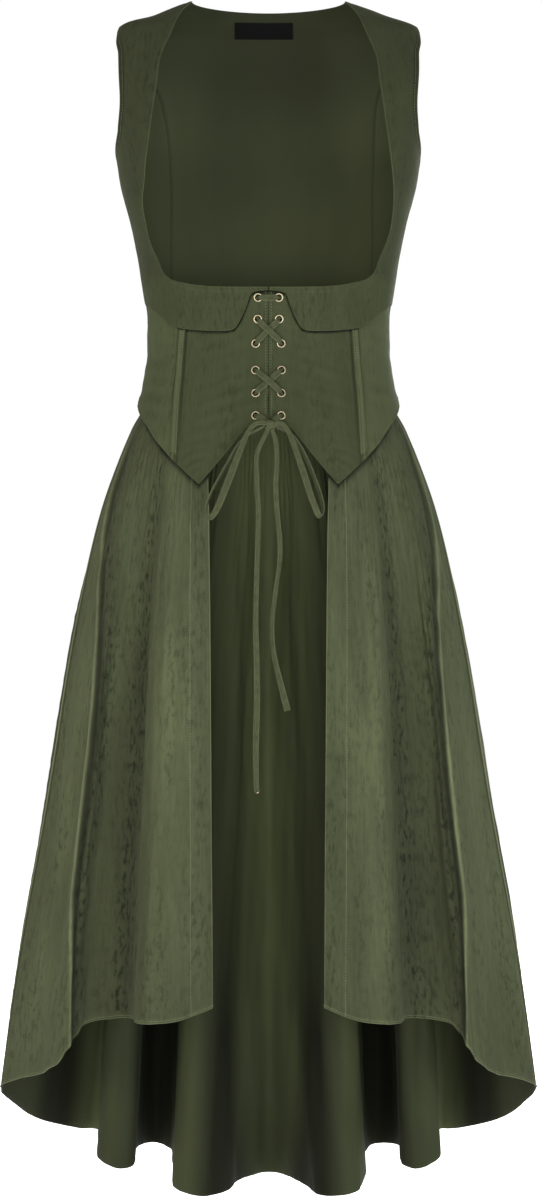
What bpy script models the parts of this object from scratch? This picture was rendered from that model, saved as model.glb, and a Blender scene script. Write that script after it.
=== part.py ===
# A sleeveless medieval overdress, worn and filled out with no wearer: an underbust
# laced bodice with wide straps and a turned-down flap, over an open high-low skirt.
# Blender 4.5. Tables are in millimetres, the meshes in metres. The front faces -Y,
# +X is the right of someone who looks at the front, and z is 0 at the neck points.

import math

import bmesh
import bpy
import numpy as np
from mathutils import Matrix, Vector

MM = 0.001
CLOTH = 1.5
SEAM = 0.3
LEFT, RIGHT = -1, 1

# Layers, measured outwards from the body side of the bodice
YOKE_LIFT = CLOTH + 1.5
YOKE_LIFT_FROM, YOKE_LIFT_TO = -285, -302
FLAP_EASE = 1.4
CHANNEL_LIFT = CLOTH + 0.6
CHANNEL_WALL = 1.0
CHANNEL_HALF_WIDTH = 4.3
SKIRT_SINK = 1.2
LABEL_WALL = 0.5

TORSO = (
    # level, height, half_width, front_depth, back_depth, armhole_gap in degrees
    ("neck", 0, 82, 26, 62, 0),
    ("slope", -14, 121, 37, 68, 0),
    ("shoulder_tip", -29, 160, 49, 76, 0),
    ("yoke", -60, 167, 69, 87, 18),
    ("armhole", -105, 172.5, 92, 95, 25),
    ("armhole_low", -142, 170, 104, 97, 20),
    ("underarm", -176, 162, 111, 95, 0),
    ("bust", -203, 157, 114, 92, 0),
    ("below_bust", -240, 147, 112, 88, 0),
    ("ribs", -281, 138.8, 106, 84, 0),
    ("underbust", -310, 133.5, 100, 82, 0),
    ("cinch", -342, 129.3, 95, 80, 0),
    ("waist", -372, 129, 92, 80, 0),
    ("high_hip", -412, 134, 96, 84, 0),
    ("basque", -440, 141.5, 101, 90, 0),
    ("hip", -480, 151, 107, 98, 0),
    ("basque_point", -530, 163, 112, 106, 0),
)

YOKE = (
    # rung, neckline_x, neckline_z, outer_x, outer_z; None lies on the armhole or side seam
    ("shoulder", 82, 0, None, -29),
    ("strap_1", 94, -17, None, -39),
    ("strap_2", 104, -41, None, -54),
    ("strap_3", 114, -66, None, -72),
    ("strap_4", 117.5, -96, None, -96),
    ("strap_5", 122.5, -130, None, -122),
    ("strap_6", 127.4, -167, None, -150),
    ("underarm", 131, -196, None, -176),
    ("side_1", 132.2, -225, None, -203),
    ("side_2", 129, -250, None, -232),
    ("side_3", 123.7, -267, None, -256),
    ("side_4", 117, -283, None, -278),
    ("side_5", 110, -296, None, -300),
    ("side_end", 102, -304, None, -325),
    ("flap_a", 99, -305.5, 131.6, -325.8),
    ("flap_b", 96.5, -306.6, 129.2, -327),
    ("flap_1", 93.5, -307.8, 124.6, -330.5),
    ("flap_2", 87, -309.4, 114, -340.5),
    ("flap_3", 79, -311.5, 103.7, -349.7),
    ("flap_4", 70, -313, 90, -357),
    ("flap_5", 58.6, -314.3, 66, -360.6),
    ("flap_6", 46, -315, 45, -361.5),
    ("flap_corner", 37, -315.3, 35, -359.5),
    ("notch_1", 30, -315.5, 28.6, -350.2),
    ("notch_2", 23, -315.7, 22.2, -335.3),
    ("notch_3", 17.5, -315.8, 17.2, -322.3),
    ("centre", 0.6, -315.9, 0.6, -319.5),
)

BACK_SEAM = (
    # x, z of the seam between the centre back and the side back
    (143, -64),
    (131, -72),
    (123, -84),
    (116, -106),
    (111.5, -131),
    (108.5, -162),
    (106.6, -200),
    (107, -240),
    (107, -281),
    (102, -330),
    (94, -375),
    (90, -420),
)
BACK_SEAM_RIGHT_SHIFT = (0, 0, 0, 2, 5, 7, 7, 7, 6, 4, 2, 0)
BACK_SEAM_TOP = -58
SIDE_BACK_TOP = -64
BACK_HEM = -420

CHANNEL = (
    # x, z of the middle of the sewn channel, which covers the corset's side front seam
    (89, -345),
    (90.5, -362),
    (93.5, -402),
    (96, -429),
    (97.5, -455),
    (98.8, -481),
    (99.8, -498),
)
CHANNEL_TOP, CHANNEL_FOOT = -358.8, -491

CORSET_TOP = (
    # x, z of the edge hidden under the flap
    (0.6, -318.5),
    (20, -318.5),
    (45, -326),
    (89, -345),
)
CORSET_FOOT = (
    # x, z of the free lower edge, from the laced centre to the channel
    (0.6, -458),
    (14, -460.5),
    (23, -464),
    (33, -477),
    (43, -489.8),
    (60, -509.5),
    (72.5, -523.8),
    (86, -511.5),
    (99.8, -498),
)
SIDE_TOP, SIDE_FOOT = -316, -425
SIDE_EDGE = (
    # x, z of the lower edge from the channel to the side seam
    (99.8, -498),
    (111.2, -485.3),
    (129.3, -458.5),
    (139.5, -436.6),
)

SKIRT_TOP = (
    # angle round from the front, z of the waist seam, hidden behind the corset
    (24, -501),
    (27.5, -512),
    (33, -502),
    (48, -474),
    (64, -447),
    (80, -425),
    (90, -415),
    (110, -411),
    (180, -411),
)
HEM = (
    # fold, waist_angle, x, y, z of the hem, from the front edge to the centre back
    ("front_edge", 24, 57.8, -128, -1069),
    ("front_flat", 31, 92, -138, -1081),
    ("crest_a", 38, 121, -135, -1085),
    ("turn_a", 43, 139, -116, -1086),
    ("tuck_a", 47, 144, -88, -1085),
    ("valley_b", 53, 165, -68, -1088),
    ("rise_b", 59, 194, -70, -1094),
    ("crest_c", 65, 209, -90, -1114),
    ("turn_c", 71, 222, -90, -1132),
    ("dip_c", 77, 240, -66, -1146),
    ("crest_d", 83, 268, -34, -1157),
    ("side_seam", 90, 289, 0, -1171),
    ("side_back", 97, 279, 52, -1197),
    ("quarter", 104, 257, 110, -1223),
    ("valley_e", 112, 218, 166, -1242.5),
    ("valley_e_in", 117, 194, 180, -1247),
    ("flute_1_out", 121, 184, 140, -1254),
    ("flute_1_turn", 125, 189, 92, -1263),
    ("flute_1_crest", 130, 167, 68, -1271),
    ("flute_1_back", 135, 149, 90, -1270),
    ("flute_1_in", 139, 152, 144, -1268),
    ("valley_f_out", 143, 148, 202, -1268),
    ("valley_f", 147, 129, 226, -1270),
    ("valley_f_in", 151, 111, 203, -1274),
    ("flute_2_out", 155, 106, 152, -1288),
    ("flute_2_turn", 160, 103.5, 106, -1299),
    ("flute_2_crest", 165, 78, 87, -1305),
    ("flute_2_back", 170, 52, 106, -1305),
    ("flute_2_in", 175, 33, 158, -1300),
    ("centre_back", 180, 0, 208, -1300.5),
)
FLARE = (
    # share of the way down, share of the way out to the hem
    (0, 0),
    (0.022, 0.002),
    (0.06, 0.088),
    (0.1, 0.17),
    (0.17, 0.292),
    (0.25, 0.395),
    (0.34, 0.492),
    (0.45, 0.59),
    (0.6, 0.705),
    (0.8, 0.872),
    (1, 1),
)
SKIRT_ROWS = (0, 0.022, 0.06, 0.11, 0.17, 0.25, 0.34, 0.45, 0.58, 0.72, 0.86, 1)

EYELET_ROWS = (
    # x, z of each pair
    (10.8, -327.2),
    (11.1, -349.6),
    (13.3, -375.3),
    (13.5, -403.6),
    (13.4, -428.1),
    (13.3, -451.8),
)
EYELET_HOLE, EYELET_BARREL, EYELET_RIM = 2.5, 2.9, 4.6
EYELET_LIFT, EYELET_BACK, EYELET_DOME = 0.6, 0.6, 0.9
EYELET_SIDES = 10
HOLE_RADIUS = 3.3
HOLE_SIDES = 12

LACE_WIDTH, LACE_WALL, LACE_IN_HOLE = 4.8, 1.9, 3.2
CORD_RADIUS = 2.0
KNOT_CENTRE = (1.5, -113.5, -462)
KNOT_HALF = (5.4, 3.4, 4.6)
CORD_STEP = 9.0

TAILS_AND_LOOPS = {
    # The route of each free end and bow loop, from the knot
    "lace_tail_left": (
        (-0.3, -113.8, -466.9),
        (-5.5, -115, -477),
        (-12.5, -112, -495),
        (-12, -111, -525),
        (-10.5, -110, -555),
        (-12, -110, -610),
        (-13.3, -110, -667),
        (-12.3, -110, -710),
        (-12, -110, -750),
        (-13.2, -110, -800),
        (-12.6, -110, -838),
        (-11.3, -110, -846),
    ),
    "lace_tail_right": (
        (3.4, -112.3, -466.3),
        (7.8, -109, -480),
        (8.9, -105, -500),
        (7.8, -102, -527),
        (9.4, -100, -556),
        (12, -99, -584),
        (11.6, -98, -606),
        (7.4, -98, -636),
        (3.9, -98, -667),
        (5, -98, -697),
        (10.6, -98, -724),
        (20, -98, -761),
    ),
    "lace_loop_left": (
        (-3.9, -115.3, -460.2),
        (-11, -117, -460),
        (-17, -116, -464),
        (-22, -118, -471),
        (-27.5, -121, -484),
        (-34.5, -124, -502),
        (-43, -127, -524),
        (-50.5, -128, -543),
        (-56.5, -126, -555),
        (-61.5, -121, -559),
        (-65, -115, -554),
        (-64, -111, -544),
        (-59, -110, -531),
        (-51, -110, -516),
        (-42, -110, -500),
        (-32, -111, -483),
        (-22, -111, -473),
        (-13, -110.5, -468),
        (-3.7, -111.8, -463.7),
    ),
    "lace_loop_right": (
        (7.2, -115.3, -460.2),
        (14, -117, -461),
        (19.5, -117, -467),
        (25, -120, -479),
        (31, -123, -496),
        (37, -126, -514),
        (43, -128, -533),
        (48, -129, -547),
        (52, -126, -556),
        (55, -120, -557),
        (57, -115, -549),
        (54, -112, -534),
        (48, -110.5, -517),
        (41, -110, -500),
        (33, -110, -484),
        (23, -110.5, -471.5),
        (15.5, -110.5, -467),
        (6.9, -111.7, -463.3),
    ),
}

LABEL_HALF_WIDTH, LABEL_TOP, LABEL_FOOT, LABEL_SHIFT = 32, -9.5, -26, -5.3
LABEL_GAP = 0.5

SUEDE = ("faux_suede", (0.072, 0.082, 0.038), 0.86, 0.0)
LACE = ("suede_tie", (0.085, 0.095, 0.048), 0.8, 0.0)
BRASS = ("antique_brass", (0.55, 0.45, 0.27), 0.34, 1.0)
WOVEN_BLACK = ("woven_label", (0.006, 0.006, 0.007), 0.7, 0.0)


def monotone(keys, values, at):
    # A smooth curve through the values that never overshoots them
    keys, values, at = (np.asarray(a, float) for a in (keys, values, at))
    step = np.diff(keys)
    rise = np.diff(values) / step
    both = rise[:-1] * rise[1:]
    total = rise[:-1] + rise[1:]
    inner = np.where(both > 0, 2 * both / np.where(total == 0, 1, total), 0)
    slope = np.concatenate([[rise[0]], inner, [rise[-1]]])
    i = np.clip(np.searchsorted(keys, at, side="right") - 1, 0, len(step) - 1)
    t = (at - keys[i]) / step[i]
    return (
        values[i] * (1 + 2 * t) * (1 - t) ** 2
        + step[i] * slope[i] * t * (1 - t) ** 2
        + values[i + 1] * t * t * (3 - 2 * t)
        + step[i] * slope[i + 1] * t * t * (t - 1)
    )


def rounded(rows, at):
    # A rounded curve through the rows, where at counts rows from the first
    rows, at = np.asarray(rows, float), np.asarray(at, float)
    last = len(rows) - 1
    i = np.clip(at.astype(int), 0, last - 1)
    t = (at - i)[..., None]
    a, b = rows[np.clip(i - 1, 0, last)], rows[i]
    c, d = rows[i + 1], rows[np.clip(i + 2, 0, last)]
    return 0.5 * (
        2 * b
        + (c - a) * t
        + (2 * a - 5 * b + 4 * c - d) * t**2
        + (3 * b - a - 3 * c + d) * t**3
    )


def column(table, index):
    return [row[index] for row in table]


def torso_value(index, level):
    return monotone(range(len(TORSO)), column(TORSO, index), level)


def level_at(z):
    fine = np.linspace(0, len(TORSO) - 1, 1601)
    return np.interp(-np.asarray(z, float), -torso_value(1, fine), fine)


def torso_point(angle, level):
    # Rings of two half ellipses, a deeper one in front and a flatter one behind
    turn = np.radians(angle)
    width, front, back = (torso_value(i, level) for i in (2, 3, 4))
    depth = np.where(np.cos(turn) > 0, front, back)
    return np.stack(
        [width * np.sin(turn), -depth * np.cos(turn), torso_value(1, level)], -1
    )


def normals_of(surface, u, v, step=1e-3):
    across = surface(u + step, v) - surface(u - step, v)
    down = surface(u, v + step) - surface(u, v - step)
    normal = np.cross(down, across)
    return normal / np.maximum(np.linalg.norm(normal, axis=-1, keepdims=True), 1e-12)


def torso_normal(angle, level):
    level = np.clip(level, 2e-3, len(TORSO) - 1.002)
    return normals_of(torso_point, np.asarray(angle, float), level)


def at_front(x, z):
    # Angle and level of the point seen at x, z from the front
    level = level_at(z)
    share = np.clip(np.asarray(x, float) / torso_value(2, level), 0, 1)
    return np.stack([np.degrees(np.arcsin(share)), level], -1)


def at_back(x, z):
    spot = at_front(x, z)
    return np.stack([180 - spot[..., 0], spot[..., 1]], -1)


def on_armhole(z, side=-1):
    # On the armhole's front edge (side -1) or back edge (side 1); below it, the side seam
    level = level_at(z)
    return np.stack([90 + side * torso_value(5, level), level], -1)


def spread_line(points, count):
    # The polyline's points at equal shares of its length, in angle and level
    points = np.asarray(points, float)
    scale = np.array([2.0, 30.0])
    run = np.concatenate(
        [[0], np.cumsum(np.linalg.norm(np.diff(points * scale, axis=0), axis=1))]
    )
    at = np.linspace(0, run[-1], count)
    return np.stack([np.interp(at, run, points[:, i]) for i in (0, 1)], -1)


def coons(top, foot, left, right):
    # The patch between four edges. top and foot run left to right, the others down
    u = np.linspace(0, 1, len(top))[:, None, None]
    v = np.linspace(0, 1, len(left))[None, :, None]
    top, foot = np.asarray(top)[:, None], np.asarray(foot)[:, None]
    left, right = np.asarray(left)[None], np.asarray(right)[None]
    flat = (1 - v) * top + v * foot + (1 - u) * left + u * right
    corners = (1 - u) * ((1 - v) * top[:1] + v * foot[:1]) + u * (
        (1 - v) * top[-1:] + v * foot[-1:]
    )
    return flat - corners


def taken_in(grid, first_u=True, last_u=True, ends_v=True):
    # Half a seam's gap off the edges, so that the next piece lies SEAM away
    moved = grid.copy()

    def pull(edge, inner):
        away = inner - edge
        return edge + away * (SEAM / 2 / np.linalg.norm(away, axis=-1, keepdims=True))

    if first_u:
        moved[0] = pull(grid[0], grid[1])
    if last_u:
        moved[-1] = pull(grid[-1], grid[-2])
    if ends_v:
        moved[:, 0] = pull(moved[:, 0], moved[:, 1])
        moved[:, -1] = pull(moved[:, -1], moved[:, -2])
    return moved


def material(finish):
    name, colour, roughness, metallic = finish
    made = bpy.data.materials.get(name)
    if made is None:
        made = bpy.data.materials.new(name)
        made.use_nodes = True
        shader = made.node_tree.nodes["Principled BSDF"]
        shader.inputs["Base Color"].default_value = (*colour, 1)
        shader.inputs["Roughness"].default_value = roughness
        shader.inputs["Metallic"].default_value = metallic
    return made


def add_object(name, points, faces, finish):
    mesh = bpy.data.meshes.new(name)
    mesh.from_pydata([Vector(p) * MM for p in points], [], faces)
    body = bmesh.new()
    body.from_mesh(mesh)
    if body.calc_volume(signed=True) < 0:
        bmesh.ops.reverse_faces(body, faces=body.faces)
    body.to_mesh(mesh)
    body.free()
    mesh.materials.append(material(finish))
    mesh.shade_smooth()
    mesh.set_sharp_from_angle(angle=math.radians(40))
    made = bpy.data.objects.new(name, mesh)
    bpy.context.scene.collection.objects.link(made)
    return made


def wall(name, outer, inner, finish):
    # A closed sheet between two grids of points, with a rim all round
    rows, columns = outer.shape[:2]
    points = np.concatenate([outer.reshape(-1, 3), inner.reshape(-1, 3)])
    half = rows * columns

    def at(i, j, layer=0):
        return layer * half + i * columns + j

    faces = []
    for i in range(rows - 1):
        for j in range(columns - 1):
            loop = [at(i, j), at(i + 1, j), at(i + 1, j + 1), at(i, j + 1)]
            faces.append(loop)
            faces.append([half + p for p in reversed(loop)])
    rim = [at(i, 0) for i in range(rows)]
    rim += [at(rows - 1, j) for j in range(1, columns)]
    rim += [at(i, columns - 1) for i in range(rows - 2, -1, -1)]
    rim += [at(0, j) for j in range(columns - 2, 0, -1)]
    for a, b in zip(rim, rim[1:] + rim[:1]):
        faces.append([b, a, half + a, half + b])
    return add_object(name, points, faces, finish)


def torso_wall(name, spots, side, lift=0.0, thick=CLOTH, seams=None, finish=SUEDE):
    # A cloth panel on the torso, from its grid of angles and levels
    angle, level = spots[..., 0], spots[..., 1]
    base = taken_in(torso_point(angle, level), **(seams or {}))
    normal = torso_normal(angle, level)
    inner = base + normal * np.asarray(lift)[..., None]
    outer = inner + normal * thick
    mirror = np.array([side, 1, 1])
    return wall(name, outer * mirror, inner * mirror, finish)


def back_seam(side):
    # The photo shows this seam a little further out on the right
    x, z = np.transpose(BACK_SEAM)
    return at_back(x + np.array(BACK_SEAM_RIGHT_SHIFT) * (side == RIGHT), z)


def back_half(side):
    # From the centre line out to the shoulder seam, the armhole and the back seam
    seam = spread_line([(90, 0), (90, 2)], 5)
    armhole = on_armhole(np.linspace(-29, BACK_SEAM_TOP, 4), 1)
    right = np.concatenate([seam, armhole[1:], back_seam(side)])
    middle = np.stack([np.full(len(right), 180.0), right[:, 1]], -1)
    across = np.linspace(0, 1, 7)[:, None, None]
    angle, level = np.moveaxis(middle * (1 - across) + right * across, -1, 0)
    inner = taken_in(torso_point(angle, level), first_u=False)
    outer = inner + torso_normal(angle, level) * CLOTH
    mirror = np.array([side, 1, 1])
    return inner * mirror, outer * mirror


def back_centre():
    halves = zip(back_half(LEFT), back_half(RIGHT))
    inner, outer = (np.concatenate([left[:0:-1], right]) for left, right in halves)
    wall("back_centre", outer, inner, SUEDE)
    return inner


def side_back(side, name):
    top = on_armhole([BACK_SEAM_TOP - 1.5], 1)
    inner = np.concatenate([top, back_seam(side)])
    heights = np.concatenate(
        [np.linspace(SIDE_BACK_TOP, -176, 6), np.linspace(-176, BACK_HEM, 8)[1:]]
    )
    outer = on_armhole(heights, 1)
    across = np.linspace(0, 1, 5)[:, None, None]
    torso_wall(name, inner * (1 - across) + outer * across, side)


def yoke_spots():
    inner = at_front(column(YOKE, 1), column(YOKE, 2))
    inner[0, 0] = 90
    outer = np.array(
        [
            on_armhole(row[4]) if row[3] is None else at_front(row[3], row[4])
            for row in YOKE
        ]
    )
    across = np.linspace(0, 1, 6)[:, None, None]
    return inner * (1 - across) + outer * across


def yoke(side, name):
    # The strap and, below the bust, the flap that lies over the corset's top
    spots = yoke_spots()
    height = torso_value(1, spots[..., 1])
    drop = np.clip(
        (height - YOKE_LIFT_FROM) / (YOKE_LIFT_TO - YOKE_LIFT_FROM), 0, 1
    )
    free = np.clip((height + 322) / -30, 0, 1) * np.clip(
        (80 - spots[..., 0]) / 40, 0, 1
    )
    torso_wall(name, spots, side, lift=drop * YOKE_LIFT + free * FLAP_EASE)


def corset_front(side, name):
    columns = np.array(column(CORSET_FOOT, 0))
    top_x = columns * CORSET_TOP[-1][0] / columns[-1]
    top = at_front(top_x, np.interp(top_x, *np.transpose(CORSET_TOP)))
    foot = at_front(*np.transpose(CORSET_FOOT))
    left = at_front(0.6, np.linspace(CORSET_TOP[0][1], CORSET_FOOT[0][1], 9))
    z = np.linspace(CHANNEL[0][1], CHANNEL[-1][1], 9)
    right = at_front(np.interp(-z, *-np.transpose(CHANNEL)[::-1] * [[1], [-1]]), z)
    panel = torso_wall(name, coons(top, foot, left, right), side)
    cutter = eyelet_cutter(side, name + "_holes")
    cut = panel.modifiers.new("eyelet_holes", "BOOLEAN")
    cut.operation = "DIFFERENCE"
    cut.object = cutter


def corset_side(side, name):
    z = np.linspace(CHANNEL[0][1], CHANNEL[-1][1], 8)
    left = at_front(np.interp(-z, *-np.transpose(CHANNEL)[::-1] * [[1], [-1]]), z)
    right = on_armhole(np.linspace(SIDE_TOP, SIDE_FOOT, 8))
    edge = np.concatenate([at_front(*np.transpose(SIDE_EDGE)), right[-1:]])
    foot = spread_line(edge, 8)
    top = spread_line([left[0], right[0]], 8)
    torso_wall(name, coons(top, foot, left, right), side)


def channel(side, name):
    # The strip that is sewn over the seam and holds a bone
    z = np.linspace(CHANNEL_TOP, CHANNEL_FOOT, 9)
    middle = np.interp(-z, -np.array(column(CHANNEL, 1)), column(CHANNEL, 0))
    half = CHANNEL_HALF_WIDTH * np.array([[-1.0], [0.0], [1.0]])
    slope = torso_value(3, level_at(z)) / 130
    foot = np.zeros((3, 9))
    foot[2, -1] = 4.5
    spots = at_front(middle + half * slope, z + foot)
    torso_wall(name, spots, side, lift=CHANNEL_LIFT, thick=CHANNEL_WALL)


def skirt_rows():
    right = [row[1:] for row in HEM]
    left = [(360 - angle, -x, y, z) for angle, x, y, z in right[-2::-1]]
    return np.array(right + left, float)


def skirt_point(fold, down):
    # fold counts the hem's rows from the right front edge, down goes 0 to 1
    rows = skirt_rows()
    number = np.arange(len(rows))
    fold = np.clip(fold, 0, len(rows) - 1)
    angle = monotone(number, rows[:, 0], fold)
    mirror = np.where(angle > 180, -1, 1)
    turned = np.where(angle > 180, 360 - angle, angle)
    level = level_at(monotone(column(SKIRT_TOP, 0), column(SKIRT_TOP, 1), turned))
    top = torso_point(turned, level) - torso_normal(turned, level) * SKIRT_SINK
    top = top * np.stack([mirror, np.ones_like(angle), np.ones_like(angle)], -1)
    hem = rounded(rows[:, 1:], fold)
    out = monotone(column(FLARE, 0), column(FLARE, 1), np.clip(down, 0, 1))
    share = np.stack([out, out, down], -1)
    return top + (hem - top) * share


def skirt(name, first, last, columns):
    fold = np.linspace(first, last, columns)[:, None]
    down = np.array(SKIRT_ROWS)[None]
    fold, down = np.broadcast_arrays(fold, down)
    outer = taken_in(skirt_point(fold, down), ends_v=False)
    normal = normals_of(skirt_point, fold, np.clip(down, 2e-3, 0.998), 2e-3)
    wall(name, outer, outer - normal * CLOTH, SUEDE)


def place(side, x, z, out=0.0):
    # A point over the front of the bodice, and the way out of it there
    angle, level = at_front(x, z)
    normal = torso_normal(angle, level)
    point = (torso_point(angle, level) + normal * out) * [side, 1, 1]
    return Vector(point), Vector(normal * [side, 1, 1])


def turned(profile, sides, centre, axis):
    # The points and faces of a closed profile of radius and height, turned about an axis
    frame = axis.to_track_quat("Z", "Y").to_matrix()
    points, faces = [], []
    for i in range(sides):
        angle = math.tau * i / sides
        for radius, height in profile:
            spot = Vector((radius * math.cos(angle), radius * math.sin(angle), height))
            points.append(centre + frame @ spot)
    count = len(profile)
    for i in range(sides):
        for j in range(count):
            a, b = i * count + j, i * count + (j + 1) % count
            step = count if i < sides - 1 else -i * count
            faces.append([a, a + step, b + step, b])
    return points, faces


def eyelet(side, row, name):
    x, z = EYELET_ROWS[row]
    centre, axis = place(side, x, z)
    face = CLOTH + EYELET_LIFT
    profile = (
        (EYELET_HOLE, -SEAM - EYELET_BACK),
        (EYELET_RIM - 0.4, -SEAM - EYELET_BACK / 2),
        (EYELET_BARREL, -SEAM),
        (EYELET_BARREL, face),
        (EYELET_RIM, face),
        (EYELET_HOLE, face + EYELET_DOME),
    )
    add_object(name, *turned(profile, EYELET_SIDES, centre, axis), BRASS)


def eyelet_cutter(side, name):
    points, faces = [], []
    for x, z in EYELET_ROWS:
        centre, axis = place(side, x, z)
        frame = axis.to_track_quat("Z", "Y").to_matrix()
        start = len(points)
        for height in (-4, 5):
            for i in range(HOLE_SIDES):
                angle = math.tau * i / HOLE_SIDES
                spot = (math.cos(angle) * HOLE_RADIUS, math.sin(angle) * HOLE_RADIUS)
                points.append(centre + frame @ Vector((*spot, height)))
        foot = [start + i for i in range(HOLE_SIDES)]
        for i in range(HOLE_SIDES):
            a, b = foot[i], foot[(i + 1) % HOLE_SIDES]
            faces.append([a, b, b + HOLE_SIDES, a + HOLE_SIDES])
        faces.append(foot[::-1])
        faces.append([p + HOLE_SIDES for p in foot])
    cutter = add_object(name, points, faces, BRASS)
    cutter.hide_render = True
    cutter.display_type = "WIRE"
    return cutter


def strap(name, route, ways, widths):
    # A flat tie swept along its route; ways are the directions out of its flat side
    points, faces = [], []
    sides = 8
    count = len(route)
    for i, (spot, way) in enumerate(zip(route, ways)):
        along = (route[min(i + 1, count - 1)] - route[max(i - 1, 0)]).normalized()
        across = along.cross(way).normalized()
        up = across.cross(along)
        for j in range(sides):
            angle = math.tau * (j + 0.5) / sides
            points.append(
                spot
                + across * (widths[i] / 2 * math.cos(angle))
                + up * (LACE_WALL / 2 * math.sin(angle))
            )
    for i in range(count - 1):
        for j in range(sides):
            a, b = i * sides + j, i * sides + (j + 1) % sides
            faces.append([a, b, b + sides, a + sides])
    faces.append(list(range(sides))[::-1])
    faces.append([(count - 1) * sides + j for j in range(sides)])
    add_object(name, points, faces, LACE)


def lace_run(name, start, end, over, inside=False, meet=None):
    # A stretch of lace from one eyelet to another, or to the knot, across either face
    point_a, way_a = place(start[0], *EYELET_ROWS[start[1]])
    point_b, way_b = place(end[0], *EYELET_ROWS[end[1]])
    rim = EYELET_BACK + SEAM if inside else CLOTH + EYELET_LIFT + EYELET_DOME
    lift = rim + SEAM + LACE_WALL / 2
    if inside:
        way_a, way_b = -way_a, -way_b
    if meet:
        point_b = Vector(meet) - way_a * lift
        way_b = way_a
    along = (point_b - point_a).normalized()
    way_mid = (way_a + way_b) / 2

    def dip(point, way, ahead):
        # Out of the hole and over its rim: spot, tilt, width
        return [
            (point + way * lift * 0.45, -ahead, LACE_IN_HOLE),
            (point + way * lift * 0.86 + ahead * 0.4, way - ahead, LACE_IN_HOLE),
            (point + way * lift + ahead * 2.7, way, LACE_WIDTH),
        ]

    route = dip(point_a, way_a, along)
    if meet:
        route.append((point_b + way_b * lift, way_b, LACE_WIDTH * 0.8))
    else:
        middle = point_a.lerp(point_b, 0.5) + way_mid * (lift + over)
        route.append((middle, way_mid, LACE_WIDTH))
        route += dip(point_b, way_b, -along)[::-1]
    strap(name, *zip(*route))


def lacing():
    for side, word in ((LEFT, "left"), (RIGHT, "right")):
        for row in range(len(EYELET_ROWS)):
            eyelet(side, row, f"eyelet_{word}_{row + 1}")
        for row in (0, 2, 4):
            name = f"lace_inside_{word}_{row // 2 + 1}"
            lace_run(name, (side, row), (side, row + 1), 0, inside=True)
    lace_run("lace_bar", (LEFT, 0), (RIGHT, 0), 0.6)
    for word, row in (("upper", 1), ("lower", 3)):
        lace_run(f"lace_{word}_under", (RIGHT, row), (LEFT, row + 1), -0.6)
        lace_run(f"lace_{word}_over", (LEFT, row), (RIGHT, row + 1), 2.3)
    x, y, z = KNOT_CENTRE
    for side, word in ((LEFT, "left"), (RIGHT, "right")):
        meet = (x + side * KNOT_HALF[0] * 0.62, y + 1.6, z + KNOT_HALF[2] + 0.6)
        lace_run(f"lace_to_knot_{word}", (side, 5), (side, 5), 0, meet=meet)


def knot():
    body = bmesh.new()
    shape = Matrix.LocRotScale(
        Vector(KNOT_CENTRE), None, Vector(KNOT_HALF)
    )
    bmesh.ops.create_uvsphere(
        body, u_segments=12, v_segments=8, radius=1, matrix=shape
    )
    points = [v.co.copy() for v in body.verts]
    faces = [[v.index for v in f.verts] for f in body.faces]
    body.free()
    add_object("lace_knot", points, faces, LACE)


def free_lace(name, route):
    # A free end or bow loop: a smooth curve through its route, a point every few mm
    fine = rounded(route, np.linspace(0, len(route) - 1, 40 * len(route)))
    run = np.concatenate(
        [[0], np.cumsum(np.linalg.norm(np.diff(fine, axis=0), axis=1))]
    )
    count = int(run[-1] / CORD_STEP) + 1
    at = np.linspace(0, run[-1], count)
    points = np.stack([np.interp(at, run, fine[:, i]) for i in range(3)], -1) * MM
    curve = bpy.data.curves.new(name, "CURVE")
    curve.dimensions = "3D"
    spline = curve.splines.new("POLY")
    spline.points.add(count - 1)
    for spot, point in zip(points, spline.points):
        point.co = (*spot, 1)
    curve.bevel_depth = CORD_RADIUS * MM
    curve.bevel_resolution = 2
    curve.use_fill_caps = True
    curve.materials.append(material(LACE))
    made = bpy.data.objects.new(name, curve)
    bpy.context.scene.collection.objects.link(made)


def label(panel):
    # Sewn to the inside of the centre back, so it is made from that panel's points
    x = LABEL_SHIFT + np.linspace(-LABEL_HALF_WIDTH, LABEL_HALF_WIDTH, 9)
    z = np.linspace(LABEL_TOP, LABEL_FOOT, 4)
    middle = panel[len(panel) // 2, :, 2]
    rows = np.interp(-z, -middle, np.arange(len(middle)))
    base = np.empty((len(x), len(z), 3))
    for j, row in enumerate(rows):
        line = panel[:, int(row)] * (1 - row % 1) + panel[:, int(row) + 1] * (row % 1)
        for i in range(3):
            base[:, j, i] = np.interp(x, line[:, 0], line[:, i])
    spots = at_back(np.abs(base[..., 0]), base[..., 2])
    normal = torso_normal(*np.moveaxis(spots, -1, 0))
    normal[..., 0] *= np.where(base[..., 0] < 0, -1, 1)
    outer = base - normal * LABEL_GAP
    wall("label", outer, outer - normal * LABEL_WALL, WOVEN_BLACK)


def main():
    for old in list(bpy.data.objects):
        bpy.data.objects.remove(old, do_unlink=True)
    panel = back_centre()
    for side, word in ((LEFT, "left"), (RIGHT, "right")):
        side_back(side, f"side_back_{word}")
        yoke(side, f"yoke_{word}")
        corset_front(side, f"corset_front_{word}")
        corset_side(side, f"corset_side_{word}")
        channel(side, f"channel_{word}")
    seam = column(HEM, 0).index("side_seam")
    last = 2 * (len(HEM) - 1)
    skirt("skirt_front_right", 0, seam, 26)
    skirt("skirt_front_left", last - seam, last, 26)
    skirt("skirt_back", seam, last - seam, 79)
    lacing()
    knot()
    for name, route in TAILS_AND_LOOPS.items():
        free_lace(name, route)
    label(panel)


main()
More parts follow.
